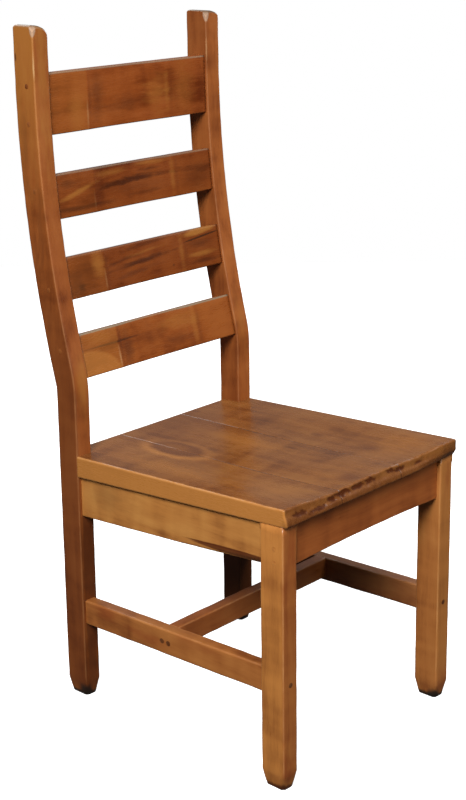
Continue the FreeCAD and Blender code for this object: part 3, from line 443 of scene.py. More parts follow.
def ease(block, width, steps, wanted):
    """Round edges off, and note on the mesh where that was."""
    pick_edges(block, wanted)
    bpy.ops.mesh.bevel(offset=width, segments=steps, affect="EDGES", clamp_overlap=False)
    mesh = bmesh.from_edit_mesh(block.data)
    edge_layer = mesh.verts.layers.float["edge"]
    for corner in mesh.verts:
        if corner.select and all(face.select for face in corner.link_faces):
            corner[edge_layer] = 1.0
    bmesh.update_edit_mesh(block.data)


def sharp(edge, angle=0.6):
    """Whether two faces meet at an edge at more than an angle."""
    return len(edge.link_faces) == 2 and edge.calc_face_angle() > angle


def finish_block(block, unevenness=0.00012, wear=0.0006):
    """Leave edit mode, wear faces and edges unevenly and shade the mesh smooth."""
    bpy.ops.object.mode_set(mode="OBJECT")
    mesh = block.data
    mesh.update()
    normals = [vertex.normal.copy() for vertex in mesh.vertices]
    rounded = mesh.attributes["edge"].data
    for vertex, normal, edge in zip(mesh.vertices, normals, rounded):
        spot = vertex.co.copy()
        ripple = noise.noise(spot * 22) * unevenness
        rub = max(0.0, noise.noise(spot * 38 + Vector((3, 7, 1))) + 0.25) * wear * min(1.0, edge.value)
        vertex.co = spot + normal * (ripple - unevenness - rub)
    bpy.ops.object.shade_smooth()
    weights = block.modifiers.new("even_shading", "WEIGHTED_NORMAL")
    weights.keep_sharp = True
    bpy.ops.object.modifier_apply(modifier=weights.name)


CHAIR_HALF = 0.2075
INNER_FACE = 0.1755
LEG_MIDDLE = 0.1915
POSTS_BACK = 0.442
POST_KNEE = 0.53
KNEE_ROUND = 0.2
POST_UPRIGHT = 1.035
SET_BACK = 0.0655
POST_DEPTH = 0.0477
LEG_DEPTH = 0.045
POST_TOP = 1.1155
FOOT_TOP = 0.029
FOOT_INSET = 0.0055
FACET_FOOT = 0.033
FOOT_CUT = 0.0015
FRONT_CUT = 0.007
LONG_CURVE = (SET_BACK ** 2 + (POST_UPRIGHT - POST_KNEE) ** 2) / (2 * SET_BACK) - KNEE_ROUND
posts_y = front_legs_y + POSTS_BACK
knee_lean = math.asin((POST_UPRIGHT - POST_KNEE) / (LONG_CURVE + KNEE_ROUND))
knee_end = POST_KNEE + KNEE_ROUND * math.sin(knee_lean)
curve_y = posts_y + SET_BACK - LONG_CURVE


def post_front(height):
    """The front of the posts at a height."""
    if height < POST_KNEE:
        return posts_y
    if height < knee_end:
        return posts_y + KNEE_ROUND - math.sqrt(KNEE_ROUND ** 2 - (height - POST_KNEE) ** 2)
    rise = min(height, POST_UPRIGHT) - POST_UPRIGHT
    return curve_y + math.sqrt(LONG_CURVE ** 2 - rise ** 2)


def post_rear(height):
    """The rear of the posts at a height."""
    rise = min(height, POST_UPRIGHT) - POST_UPRIGHT
    return max(posts_y + LEG_DEPTH, curve_y + math.sqrt((LONG_CURVE + POST_DEPTH) ** 2 - rise ** 2))


def foot_draw(height):
    """How far the sides of a foot draw in at a height."""
    return FOOT_INSET * max(0.0, 1 - height / FOOT_TOP)


def foot_cut(corner, middle):
    """How much the corners of a foot are cut slantwise, most at the front left."""
    at_front = corner.x < middle[0] and corner.y < middle[1]
    return (FOOT_CUT + FRONT_CUT * at_front) * max(0.0, 1 - corner.z / FACET_FOOT) + 2 * foot_draw(corner.z)


def blunted(corner, middle, half_width, half_depth, cut):
    """Cut a corner of a square section off slantwise."""
    across = corner.x - middle[0]
    back = corner.y - middle[1]
    excess = abs(across) + abs(back) - (half_width + half_depth - cut)
    if excess > 0:
        corner.x -= math.copysign(excess / 2, across)
        corner.y -= math.copysign(excess / 2, back)
    return corner


def fourths(share, half, first, last):
    """Places across a timber: its two faces and a line near each."""
    return (-half, first - half, half - last, half)[round(share * 3)]


def faded(value, start, end):
    """A smooth step from 0 at start to 1 at end."""
    share = min(1.0, max(0.0, (value - start) / (end - start)))
    return share * share * (3 - 2 * share)


def squared(name, tall, rings):
    """A squared timber, marked off beside each long edge and at each of its rings."""
    timber = start_block(name, (0, 0, 0), (1, 1, tall))
    for axis, cuts in ((0, 2), (1, 2), (2, len(rings) - 2)):
        mark_off(timber, axis, cuts)
    return timber


def soot(foot_x, foot_y, nose, dirt=SOOT):
    """Dirt on a foot: a ragged rim, drawn up to a point on its front left corner."""
    return [
        ((foot_x, foot_y + 0.022, -0.006), (0.2, 0.2, 0.0175), dirt, 0.92, 0.12, 0.35),
        ((foot_x - 0.012, foot_y + 0.007, -0.004), (0.018, 0.018, nose), dirt, 0.94, 0.1, 0.45),
    ]


def dirty_edges(foot):
    """Let the rubbed edges and their painted highlight fade out where the foot is dirty."""
    rounded = foot.data.attributes["edge"].data
    for vertex in foot.data.vertices:
        rounded[vertex.index].value *= faded(vertex.co.z, 0.012, 0.05)


FOOT_RINGS = [0, 0.004, 0.01, 0.016, 0.022, 0.029, 0.04]
POST_RINGS = FOOT_RINGS + [0.04 + 0.0132 * k for k in range(1, 80)] + [1.0955, POST_TOP]
ARRIS = 0.0026
LINE_IN = 0.006
SHOULDER = 0.0195
SHOULDER_SPREAD = {"left": (1.25, 0.95), "right": (1.1, 0.58)}
CHIP_HEIGHT = 0.026
CHIP_WIDTH = 0.0092
CROWN = 0.0032
CROWN_START = 0.74
PAINTED_CAP_REFLECTION = {"left": rgb(0.15, 0.1, 0.06), "right": rgb(0.11, 0.075, 0.048)}
INNER_EASE = {"left": 0.004, "right": 0.0018}
WORN_AND_HIGHLIGHT_LINE = {"left": 0.65, "right": 0.22}
POST_DIRT = 0.036
POST_TONES = {"left": tones(0.28, 0.075, 0.0145), "right": tones(0.36, 0.103, 0.021)}
POST_MARKS = {
    "left": [
        ((-CHAIR_HALF, posts_y + 0.08, 1.12), (0.006, ANY, 0.34), OCHRE, 0.9, 0.25, 1.0),
        ((-0.19, posts_y + 0.06, 1.08), (0.016, ANY, 0.26), OCHRE, 0.7, 0.5, 1.0),
        ((-CHAIR_HALF, 0.262, 0.93), (0.006, 0.012, 0.1), UMBER, 0.35, 0.6, 1.0),
        ((-CHAIR_HALF, 0.235, 0.8), (0.006, 0.016, 0.12), UMBER, 0.3, 0.6, 1.0),
        # Painted shade: the outer face darker towards the bottom, and the front face darker below the seat.
        ((-CHAIR_HALF, posts_y + 0.03, 0.28), (0.006, ANY, 0.62), UMBER, 0.48, 0.2, 0.6),
        ((-0.19, posts_y, 0.22), (0.016, 0.006, 0.24), UMBER, 0.65, 0.1, 0.35),
        ((-0.188, posts_y, 0.57), (0.02, 0.016, 0.1), OCHRE, 0.8, 0.3, 1.0),
        ((-CHAIR_HALF, 0.2767, 1.065), (0.006, 0.0022, 0.008), BARK, 0.8, 0.4, 0.6),
    ],
    "right": [
        ((INNER_FACE, 0, 0.8), (0.004, ANY, ANY), UMBER, 0.3, 0.2, 0.4),
        ((INNER_FACE, 0, 1.09), (0.004, ANY, 0.09), UMBER, 0.18, 0.3, 0.8),
        ((0.19, posts_y + 0.005, 0.66), (0.02, 0.018, 0.18), OCHRE, 0.65, 0.3, 1.0),
        # Painted shade: the post below the seat darkened all round.
        ((LEG_MIDDLE, posts_y, 0.22), (ANY, ANY, 0.21), STREAK_AND_SHADE, 0.78, 0.1, 0.2),
    ],
}
for side, sign in (("left", -1), ("right", 1)):
    low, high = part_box(f"back_post_{side}")
    middle_x = (low[0] + high[0]) / 2
    half_width = (high[0] - low[0]) / 2
    post = squared(f"post_{side}", POST_TOP, POST_RINGS)

    def post_form(corner):
        """Follow the sawn curve, and draw the foot in."""
        ring = round(corner.z / POST_TOP * (len(POST_RINGS) - 1))
        height = POST_RINGS[ring]
        draw = foot_draw(height)
        half = half_width - draw
        across = fourths(corner.x, half, LINE_IN, (SHOULDER + 0.001) * half / half_width)
        near, far = post_front(height) + draw, post_rear(height) - draw
        back = fourths(corner.y, (far - near) / 2, LINE_IN, LINE_IN)
        return Vector((middle_x + across, (near + far) / 2 + back, height))

    shape(post, post_form)

    def top_edge(edge, way):
        """The edge from front to rear at the right or left of the post's top."""
        spot = edge.verts[0].co
        at_side = way * (spot.x - middle_x) > half_width - 0.001
        return at_side and spot.z > POST_TOP - 0.001 and lies_along(edge, 1)

    ease(post, SHOULDER, 7, lambda edge: top_edge(edge, 1))
    ease(post, INNER_EASE[side], 3, lambda edge: top_edge(edge, -1))
    ease(post, ARRIS, 3, lambda edge: sharp(edge, 0.9))

    def post_ends(corner):
        """Cut the foot's corners slantwise, and the top's corners and crown."""
        height = corner.z
        near, far = post_front(height), post_rear(height)
        middle = (middle_x, (near + far) / 2)
        corner = blunted(corner, middle, half_width, (far - near) / 2, foot_cut(corner, middle))
        drop = POST_TOP - height
        if drop < SHOULDER:
            off_middle = max(0.0, abs(corner.y - middle[1]) / (POST_DEPTH / 2) - CROWN_START)
            inwards = high[0] - corner.x
            if inwards < SHOULDER + 0.0015:
                wider, lower = SHOULDER_SPREAD[side]
                corner.x = high[0] - inwards * wider
                corner.z = POST_TOP - drop * lower
            corner.z -= CROWN * (off_middle / (1 - CROWN_START)) ** 2 * (1 - drop / SHOULDER)
        return corner

    shape(post, post_ends)
    bpy.ops.mesh.select_all(action="SELECT")
    bpy.ops.mesh.bisect(
        plane_co=(low[0] + CHIP_WIDTH, post_front(POST_TOP), POST_TOP - CROWN / 2),
        plane_no=(-1 / CHIP_WIDTH, -1 / CHIP_WIDTH, 1 / CHIP_HEIGHT),
        use_fill=True,
        clear_outer=True,
    )
    bpy.ops.mesh.region_to_loop()
    bpy.ops.mesh.mark_sharp()
    finish_block(post)
    dirty_edges(post)
    # Painted reflection: surfaces at the top that face upwards are turned grey.
    cap_reflection = post.data.attributes.new("painted", "FLOAT", "POINT").data
    for vertex in post.data.vertices:
        if vertex.co.z > POST_TOP - SHOULDER:
            cap_reflection[vertex.index].value = 0.9 * faded(vertex.normal.z, 0.32, 0.7)
    marks = plug_rings("slat_plugs", lambda middle: middle.x * sign > 0, 0.35) + POST_MARKS[side]
    # Painted highlight: the flat facet cut off the top's front outer corner is coloured pale.
    facet_highlight_spot = (low[0] - 0.004, post_front(POST_TOP) - 0.004, POST_TOP)
    marks.append((facet_highlight_spot, (0.0132, 0.0132, 0.0235), PAINTED_FACET_HIGHLIGHT, 0.8, 0.03, 0.15))
    # A cream line down the top of the front outer edge: worn stain and a painted highlight.
    line_spot = (low[0], post_front(POST_TOP), 1.055)
    marks.append((line_spot, (0.0032, 0.0032, 0.034), CREAM, WORN_AND_HIGHLIGHT_LINE[side], 0.2, 0.6))
    marks += soot(middle_x, posts_y, POST_DIRT)
    post.data.materials.append(stained(
        f"post_maple_{side}", "z", (0.3 * sign, 0.1, 0.2),
        POST_TONES[side], marks, blotches=0.75, rubbing_and_highlight=0.16, painted=PAINTED_CAP_REFLECTION[side]))
    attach(post, "root")
    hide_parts(f"back_post_{side}")

# Front legs: square-cut maple up to the seat's underside, mortised for the aprons and
# stretchers, with the same eased edges and blunt feet as the posts.
HONEY = rgb(0.56, 0.225, 0.05)
RUST = rgb(0.24, 0.034, 0.008)
SEAT_UNDER_SLOPE = 0.0364 / 0.488
LEG_TONES = {"left": tones(0.51, 0.195, 0.043), "right": tones(0.43, 0.152, 0.036)}
FRONT_STAINS = {"left": (RUST, 0.42), "right": (HONEY, 0.3)}
FOOT_DIRT = {"left": (0.02, UMBER), "right": (0.028, SOOT)}
for side, sign in (("left", -1), ("right", 1)):
    low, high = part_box(f"front_leg_{side}")
    middle_x = (low[0] + high[0]) / 2
    half_width = (high[0] - low[0]) / 2
    top_front = high[2]
    top_rear = top_front - LEG_DEPTH * SEAT_UNDER_SLOPE
    rings = FOOT_RINGS + [0.04 + (top_rear - 0.05) * k / 28 for k in range(1, 29)] + [top_front]
    leg = squared(f"leg_{side}", 1, rings)

    def leg_form(corner):
        """Keep the leg straight, draw the foot in and slope the top."""
        ring = round(corner.z * (len(rings) - 1))
        height = rings[ring]
        draw = foot_draw(height)
        across = fourths(corner.x, half_width - draw, LINE_IN, LINE_IN)
        back = LEG_DEPTH / 2 + fourths(corner.y, LEG_DEPTH / 2 - draw, LINE_IN, LINE_IN)
        if ring == len(rings) - 1:
            height = top_front + (top_rear - top_front) * back / LEG_DEPTH
        return Vector((middle_x + across, front_legs_y + back, height))

    shape(leg, leg_form)
    ease(leg, ARRIS, 3, lambda edge: sharp(edge, 0.9) and edge.verts[0].co.z < top_rear - 0.004)

    def leg_foot(corner):
        """Cut the foot's corners slantwise."""
        middle = (middle_x, front_legs_y + LEG_DEPTH / 2)
        return blunted(corner, middle, half_width, LEG_DEPTH / 2, foot_cut(corner, middle))

    shape(leg, leg_foot)
    finish_block(leg)
    dirty_edges(leg)
    marks = [
        ((middle_x, front_legs_y, 0.25), (ANY, 0.004, 0.35), *FRONT_STAINS[side], 0.2, 0.6),
        ((middle_x, front_legs_y, 0.0), (0.04, 0.006, 0.085), RUST, 0.6, 0.3, 0.9),
        ((middle_x + 0.004, front_legs_y, 0.385), (0.014, 0.004, 0.06), RUST, 0.35, 0.5, 1.0),
        ((low[0], front_legs_y + 0.022, 0.0), (0.006, 0.04, 0.04), RUST, 0.35, 0.3, 0.9),
    ]
    if side == "left":
        marks.append(((low[0], 0, 0.25), (0.004, ANY, 0.3), HONEY, 0.25, 0.5, 1.0))
    else:
        marks.append(((low[0], 0, 0.25), (0.004, ANY, ANY), UMBER, 0.1, 0.3, 0.6))
    marks += plug_rings("stretcher_plugs", lambda middle: middle.x * sign > 0 and middle.y < 0)
    marks += plug_rings("apron_plugs", lambda middle: middle.x * sign > 0, 0.04)
    marks += soot(middle_x, front_legs_y, *FOOT_DIRT[side])
    leg.data.materials.append(stained(
        f"leg_maple_{side}", "z", (0.7 * sign, 0.4, 0.6), LEG_TONES[side], marks, blotches=0.5,
        rubbing_and_highlight=0.35))
    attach(leg, "root")
    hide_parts(f"front_leg_{side}")

# Slats: four straight maple boards let into the posts, each scooped in front by a broad
# shallow cut that starts sharply on the left and runs out softly on the right.
SLAT_BURY = 0.004
SLAT_RECESS = 0.0045
SLAT_THICKNESS = 0.02
SLAT_ARRIS = 0.0022
SCOOP_LEFT = -0.094
SCOOP_RIGHT = 0.086
SCOOP_DEPTH = 0.0036
SLATS = (
    ("top", 0.9917, 0.0974, SLAT_ARRIS),
    ("upper", 0.8458, 0.0718, SLAT_ARRIS),
    ("lower", 0.7154, 0.0688, SLAT_ARRIS),
    ("bottom", 0.592, 0.0723, 0.0034),
)
slat_lines = [-INNER_FACE - SLAT_BURY, -INNER_FACE + 0.006]
slat_lines += [-0.16, -0.15, -0.14, -0.13, -0.12, -0.11, -0.102, -0.0965, SCOOP_LEFT]
slat_lines += [SCOOP_LEFT + 0.0015, SCOOP_LEFT + 0.004] + [-0.084 + 0.006 * k for k in range(28)]
slat_lines += [0.0815, SCOOP_RIGHT, 0.0905, 0.098, 0.108, 0.119, 0.13, 0.141, 0.152, 0.162]
slat_lines += [INNER_FACE - 0.006, INNER_FACE + SLAT_BURY]


def scoop(x):
    """Depth of the hollow in a slat's front at a distance from the middle."""
    middle = (SCOOP_LEFT + SCOOP_RIGHT) / 2
    share = (x - middle) / (SCOOP_RIGHT - middle)
    if abs(share) >= 1:
        return 0.0
    return SCOOP_DEPTH * (1 - abs(share) ** (3.2 if share < 0 else 2.0))


SLAT_TONES = {
    "top": tones(0.275, 0.064, 0.0115),
    "upper": tones(0.212, 0.048, 0.0081),
    "lower": tones(0.19, 0.042, 0.0062),
    "bottom": tones(0.265, 0.066, 0.0104),
}
CRACK_SLOPE = (0.0945, 0, 0)
STREAK_SLOPE = (0.27, 0, 0)
SLAT_MARKS = {
    "top": (
        (-0.12, 0.975, 0.024, 0.05, OCHRE, 0.35, 0.3, 1.0),
        (-0.165, 0.99, 0.016, 0.05, UMBER, 0.2, 0.4, 1.0),
        (-0.072, 0.99, 0.024, 0.06, UMBER, 0.55, 0.3, 1.0),
        (-0.01, 0.975, 0.06, 0.025, UMBER, 0.45, 0.4, 1.0),
        (0.06, 0.985, 0.04, 0.045, OCHRE, 0.4, 0.4, 1.0),
        (0.12, 0.99, 0.04, 0.06, OCHRE, 0.25, 0.4, 1.0),
        (0.168, 0.99, 0.014, 0.06, UMBER, 0.18, 0.2, 1.0),
    ),
    "upper": (
        (-0.06, 0.869, 0.05, 0.007, OCHRE, 0.4, 0.3, 0.9),
        (0.04, 0.875, 0.05, 0.006, OCHRE, 0.55, 0.3, 1.0),
        (-0.005, 0.838, 0.11, 0.016, UMBER, 0.35, 0.3, 1.0),
        (-0.13, 0.822, 0.11, 0.007, STREAK_AND_SHADE, 0.75, 0.3, 0.9),
        (-0.152, 0.863, 0.03, 0.01, STREAK_AND_SHADE, 0.55, 0.4, 1.0),
        (-0.128, 0.848, 0.06, 0.006, OCHRE, 0.7, 0.45, 1.0, STREAK_SLOPE),
        (0.0, 0.853, 0.11, 0.0085, STREAK_AND_SHADE, 0.95, 0.5, 0.9, (0.04, 0, 0)),
        (-0.045, 0.849, 0.055, 0.007, STREAK_AND_SHADE, 0.75, 0.5, 0.9),
        (0.02, 0.828, 0.08, 0.005, STREAK_AND_SHADE, 0.45, 0.5, 1.0),
        (0.03, 0.864, 0.035, 0.005, STREAK_AND_SHADE, 0.65, 0.4, 1.0),
        (0.14, 0.838, 0.055, 0.03, STREAK_AND_SHADE, 0.45, 0.3, 1.0),
        (0.15, 0.85, 0.045, 0.01, STREAK_AND_SHADE, 0.45, 0.4, 1.0),
    ),
    "lower": (
        (-0.108, 0.728, 0.02, 0.03, OCHRE, 0.6, 0.3, 0.9),
        (-0.16, 0.7, 0.03, 0.028, UMBER, 0.5, 0.4, 1.0),
        (-0.149, 0.697, 0.011, 0.008, STREAK_AND_SHADE, 0.9, 0.4, 0.9),
        (0.0, 0.742, 0.075, 0.006, STREAK_AND_SHADE, 0.55, 0.4, 1.0, CRACK_SLOPE),
        (-0.005, 0.716, 0.095, 0.0065, STREAK_AND_SHADE, 0.9, 0.5, 0.9, CRACK_SLOPE),
        (-0.05, 0.724, 0.055, 0.005, STREAK_AND_SHADE, 0.7, 0.5, 0.9, CRACK_SLOPE),
        (-0.02, 0.7, 0.08, 0.006, UMBER, 0.6, 0.5, 1.0, CRACK_SLOPE),
        (0.0, 0.73, 0.06, 0.004, OCHRE, 0.35, 0.3, 1.0, CRACK_SLOPE),
        (0.06, 0.6965, 0.004, 0.003, BARK, 0.6, 0.2, 0.8),
        (0.131, 0.745, 0.05, 0.008, OCHRE, 1.0, 0.15, 0.5, CRACK_SLOPE),
        (0.125, 0.723, 0.046, 0.01, STREAK_AND_SHADE, 0.55, 0.3, 1.0),
        (0.13, 0.706, 0.05, 0.006, OCHRE, 0.65, 0.3, 0.9),
        (0.135, 0.693, 0.05, 0.006, STREAK_AND_SHADE, 0.55, 0.3, 0.9),
        (0.133, 0.7342, 0.054, 0.0021, BARK, 1.0, 0.1, 0.4, CRACK_SLOPE),
    ),
    "bottom": (
        (-0.162, 0.553, 0.068, 0.044, HONEY, 0.42, 0.05, 0.12),
        (-0.13, 0.613, 0.045, 0.014, OCHRE, 0.35, 0.3, 1.0),
        (-0.076, 0.585, 0.02, 0.045, UMBER, 0.65, 0.3, 1.0),
        (-0.02, 0.59, 0.05, 0.03, UMBER, 0.25, 0.4, 1.0),
        (-0.108, 0.599, 0.08, 0.0026, BARK, 0.95, 0.1, 0.7),
        (0.05, 0.604, 0.06, 0.018, OCHRE, 0.5, 0.4, 1.0),
        (0.04, 0.575, 0.05, 0.012, UMBER, 0.45, 0.4, 1.0),
    ),
}
BESIDE_SCOOP = 0.2
SCOOP_STAIN_AND_SHADE = {"top": 0.2, "upper": 0.05, "lower": 0.12, "bottom": 0.32}
PAINTED_TOP_REFLECTION = rgb(0.23, 0.2, 0.14)
TOP_REFLECTION_STRENGTH = {"top": 0.55, "upper": 0.4, "lower": 0.1, "bottom": 0.85}


def slat_marks(slat, height, width, to_posts):
    """A slat's stains, those beside its hollow, the scraper's traces, painted shade and highlight at the
    hollow's edges and a painted grey reflection along the top edge.
    """
    share = SCOOP_STAIN_AND_SHADE[slat]
    rows = SLAT_MARKS[slat] + (
        (SCOOP_LEFT - BESIDE_SCOOP, height, BESIDE_SCOOP, ANY, OCHRE, share, 0.02, 0.015),
        (SCOOP_LEFT - 0.002, height - 0.25 * width, 0.003, 0.35 * width, CREAM, share, 0.1, 0.9),
        # Painted shade: a dark line just inside the hollow's left edge, where its face turns from the
        # light.
        (SCOOP_LEFT + 0.0035, height, 0.006, 0.05, UMBER, 1.6 * share, 0.2, 1.0),
        # Painted highlight: a light line just inside the hollow's right edge, where its face turns to the
        # light.
        (SCOOP_RIGHT - 0.004, height, 0.008, 0.05, OCHRE, 0.36, 0.5, 1.0),
        (SCOOP_RIGHT + 0.006, height, 0.007, 0.05, UMBER, 0.2, 0.2, 1.0),
    )
    marks = [((x, 0, z), (wide, ANY, tall), *stain) for x, z, wide, tall, *stain in rows]
    # Painted reflection: a grey band along the top edge.
    top = to_posts @ Vector((0, SLAT_RECESS + 0.002, width / 2))
    marks.append((tuple(top), (ANY, 0.006, 0.0035), PAINTED_TOP_REFLECTION, TOP_REFLECTION_STRENGTH[slat], 0.05, 0.5))
    return marks


for slat, height, width, top_ease in SLATS:
    count = len(slat_lines) - 1
    board = start_block(f"slat_board_{slat}", (0, SLAT_RECESS, -width / 2),
                        (1, SLAT_RECESS + SLAT_THICKNESS, width / 2))
    mark_off(board, 0, count - 1)
    mark_off(board, 2, 7)
    lean = math.asin((POST_UPRIGHT - height) / LONG_CURVE)
    to_posts = Matrix.Translation((0, post_front(height), height)) @ Matrix.Rotation(-lean, 4, "X")

    def slat_form(corner):
        """Scoop the front, then lean the board with the posts."""
        corner.x = slat_lines[round(corner.x * count)]
        if corner.y < SLAT_RECESS + 0.001:
            corner.y += scoop(corner.x)
        return to_posts @ corner

    shape(board, slat_form)
    lean_up = to_posts.to_3x3() @ Vector((0, 0, 1))

    def top_front(edge):
        """The edge between a slat's front and top."""
        normals = [face.normal for face in edge.link_faces]
        at_top = max(normal.dot(lean_up) for normal in normals) > 0.9
        return sharp(edge, 0.9) and at_top and min(normal.y for normal in normals) < -0.7

    ease(board, SLAT_ARRIS, 3, lambda edge: sharp(edge, 0.9) and not top_front(edge)
         and not all(abs(v.co.x) > INNER_FACE + 0.001 for v in edge.verts))
    ease(board, top_ease, 3, top_front)
    finish_block(board)
    board.data.materials.append(stained(
        f"slat_maple_{slat}", "x", (height * 3, height, 0.2), SLAT_TONES[slat],
        slat_marks(slat, height, width, to_posts), dullness=0.27, rubbing_and_highlight=0.1))
    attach(board, "root")
    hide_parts(f"slat_{slat}")

# Aprons: maple rails tenoned between the legs under the seat. The front one has a flat
# arch; the left one keeps a strip of bark edge along its lower corner near the front leg.
APRON_HEIGHT = 0.069
APRON_THICKNESS = 0.02
APRON_SET_IN = 0.007
APRON_ARRIS = 0.0018
APRON_ARCH = 0.0035
REAR_APRON = 0.455
RAIL_BURY = 0.003
SEAT_FRONT = -0.009
SEAT_UNDER_FRONT = 0.4295
APRON_TONES = tones(0.46, 0.185, 0.043)
CROSS_APRON_TONES = tones(0.35, 0.096, 0.02)
WANE_START = 0.215
WANE_SLOPE = (0, -0.0466, 0)
SCORCHED = rgb(0.1, 0.022, 0.005)
RAIL_SLOPE = (0, -0.0746, 0)
WANE_HEIGHT = 0.0095
WANE_ROWS = (0, 0.003, 0.006, WANE_HEIGHT, 0.014, 0.03, 0.05, APRON_HEIGHT)


def seat_under(back):
    """Height of the seat's underside at a distance behind the front legs' faces."""
    return SEAT_UNDER_FRONT - (back - SEAT_FRONT) * SEAT_UNDER_SLOPE


def sawn_rail(name, low, high, cuts, form, width):
    """A rail from a block: marked off along its length and height, shaped and eased."""
    rail = start_block(name, low, high)
    for axis, count in cuts:
        mark_off(rail, axis, count)
    shape(rail, form)
    ease(rail, width, 3, lambda edge: sharp(edge, 0.9))
    finish_block(rail)
    return rail


def side_rail(name, outer, thickness, cuts, form, width):
    """A rail from a front leg to a back post, from where its outer face is."""
    across = sorted((outer, outer - math.copysign(thickness, outer)))
    low = (across[0], LEG_DEPTH - RAIL_BURY, 0)
    high = (across[1], POSTS_BACK + RAIL_BURY, 1)
    return sawn_rail(name, low, high, ((1, 44), (2, cuts)), form, width)


def cross_rail(name, reach, near, thickness, cuts, form, width):
    """A rail from side to side, from where its front face is."""
    low = (-reach - RAIL_BURY, near, 0)
    high = (reach + RAIL_BURY, near + thickness, 1)
    return sawn_rail(name, low, high, ((0, 36), (2, cuts)), form, width)


for side, sign in (("left", -1), ("right", 1)):
    outer = sign * (CHAIR_HALF - APRON_SET_IN)

    def side_apron_form(corner):
        """Hang the rail under the sloping seat, and cut back its bark edge."""
        rise = WANE_ROWS[round(corner.z * (len(WANE_ROWS) - 1))]
        if side == "left" and corner.x < outer + APRON_THICKNESS / 2 and corner.y < WANE_START:
            along = (WANE_START - corner.y) / (WANE_START - LEG_DEPTH)
            wane = WANE_HEIGHT * along ** 0.8 + 0.001 * noise.noise(Vector((0, corner.y * 60, 0)))
            if rise < wane:
                corner.x += 0.7 * (wane - rise)
        return Vector((corner.x, front_legs_y + corner.y, seat_under(corner.y) - APRON_HEIGHT + rise))

    rail = side_rail(f"side_apron_{side}", outer, APRON_THICKNESS, len(WANE_ROWS) - 2,
                     side_apron_form, APRON_ARRIS)
    wane_marks = (
        ((outer, front_legs_y + 0.06, 0.3625), (0.02, 0.15, 0.0064), SCORCHED, 0.9, 0.05, 0.25,
         WANE_SLOPE),
        ((outer, front_legs_y + 0.135, 0.3616), (0.01, 0.088, 0.0014), SCORCHED, 1.0, 0.05, 0.5,
         RAIL_SLOPE),
        ((outer, front_legs_y + 0.26, 0.385), (0.01, 0.06, 0.03), HONEY, 0.3, 0.3, 1.0),
        ((outer, front_legs_y + 0.38, 0.38), (0.01, 0.06, 0.04), UMBER, 0.35, 0.3, 1.0),
    )
    rail.data.materials.append(stained(
        f"apron_maple_{side}", "y", (0.2, 0.5 * sign, 0.9), APRON_TONES,
        wane_marks if side == "left" else (), blotches=0.6, curl=1.3, rubbing_and_highlight=0.2))
    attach(rail, "root")
    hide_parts(f"apron_{side}")

for end, near, arch in (("front", APRON_SET_IN, APRON_ARCH), ("rear", REAR_APRON, 0.0)):
    def cross_apron_form(corner):
        """Hang the rail under the sloping seat, with its arch."""
        rise = corner.z * APRON_HEIGHT
        if corner.z < 0.01:
            rise += arch * (1 - (corner.x / INNER_FACE) ** 2)
        return Vector((corner.x, front_legs_y + corner.y, seat_under(corner.y) - APRON_HEIGHT + rise))

    rail = cross_rail(f"cross_apron_{end}", INNER_FACE, near, APRON_THICKNESS, 4, cross_apron_form,
                      APRON_ARRIS)
    rail.data.materials.append(stained(f"apron_maple_{end}", "x", (0.8, near * 9, 0.3),
                                       CROSS_APRON_TONES, blotches=0.6, rubbing_and_highlight=0.15))
    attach(rail, "root")
    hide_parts(f"apron_{end}")

# Stretchers: an H of maple rails between the legs. The side ones slope down to the rear,
# and the cross one is held through them by two plugged screws at each end.
STRETCHER_HEIGHT = 0.0434
STRETCHER_THICKNESS = 0.022
STRETCHER_TOP = 0.1958
STRETCHER_SLOPE = 0.018 / 0.397
STRETCHER_SET_IN = 0.0056
STRETCHER_ARRIS = 0.0034
CROSS_HEIGHT = 0.037
CROSS_THICKNESS = 0.023
CROSS_NEAR = 0.243
CROSS_ARRIS = 0.003
STRETCHER_TONES = {"left": tones(0.36, 0.12, 0.027), "right": tones(0.28, 0.096, 0.027)}


def stretcher_form(tall):
    """The form that slopes a stretcher of a height down to the rear."""
    def form(corner):
        top = STRETCHER_TOP - (corner.y - LEG_DEPTH) * STRETCHER_SLOPE
        return Vector((corner.x, front_legs_y + corner.y, top - (1 - corner.z) * tall))
    return form


for side, sign in (("left", -1), ("right", 1)):
    outer = sign * (CHAIR_HALF - STRETCHER_SET_IN)
    rail = side_rail(f"side_stretcher_{side}", outer, STRETCHER_THICKNESS, 3,
                     stretcher_form(STRETCHER_HEIGHT), STRETCHER_ARRIS)
    marks = [
        ((outer, front_legs_y + 0.39, 0.17), (0.005, 0.05, 0.016), RUST, 0.45, 0.5, 1.0),
        ((outer, front_legs_y + 0.3, 0.16), (0.005, 0.06, 0.014), RUST, 0.35, 0.5, 1.0),
        ((outer, front_legs_y + 0.18, 0.18), (0.005, 0.07, 0.012), RUST, 0.25, 0.5, 1.0),
    ]
    marks += plug_rings("cross_plugs", lambda middle: middle.x * sign > 0, 0.8)
    rail.data.materials.append(stained(
        f"stretcher_maple_{side}", "y", (0.6, 0.8 * sign, 0.1), STRETCHER_TONES[side], marks,
        blotches=0.9, rubbing_and_highlight=0.12))
    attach(rail, "root")
    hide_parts(f"stretcher_{side}")
between_stretchers = CHAIR_HALF - STRETCHER_SET_IN - STRETCHER_THICKNESS
rail = cross_rail("cross_stretcher", between_stretchers, CROSS_NEAR, CROSS_THICKNESS, 3,
                  stretcher_form(CROSS_HEIGHT), CROSS_ARRIS)
rail.data.materials.append(stained("stretcher_maple_cross", "x", (0.4, 0.9, 0.7),
                                   tones(0.3, 0.088, 0.02), blotches=0.8, rubbing_and_highlight=0.25))
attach(rail, "root")
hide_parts("stretcher_cross")

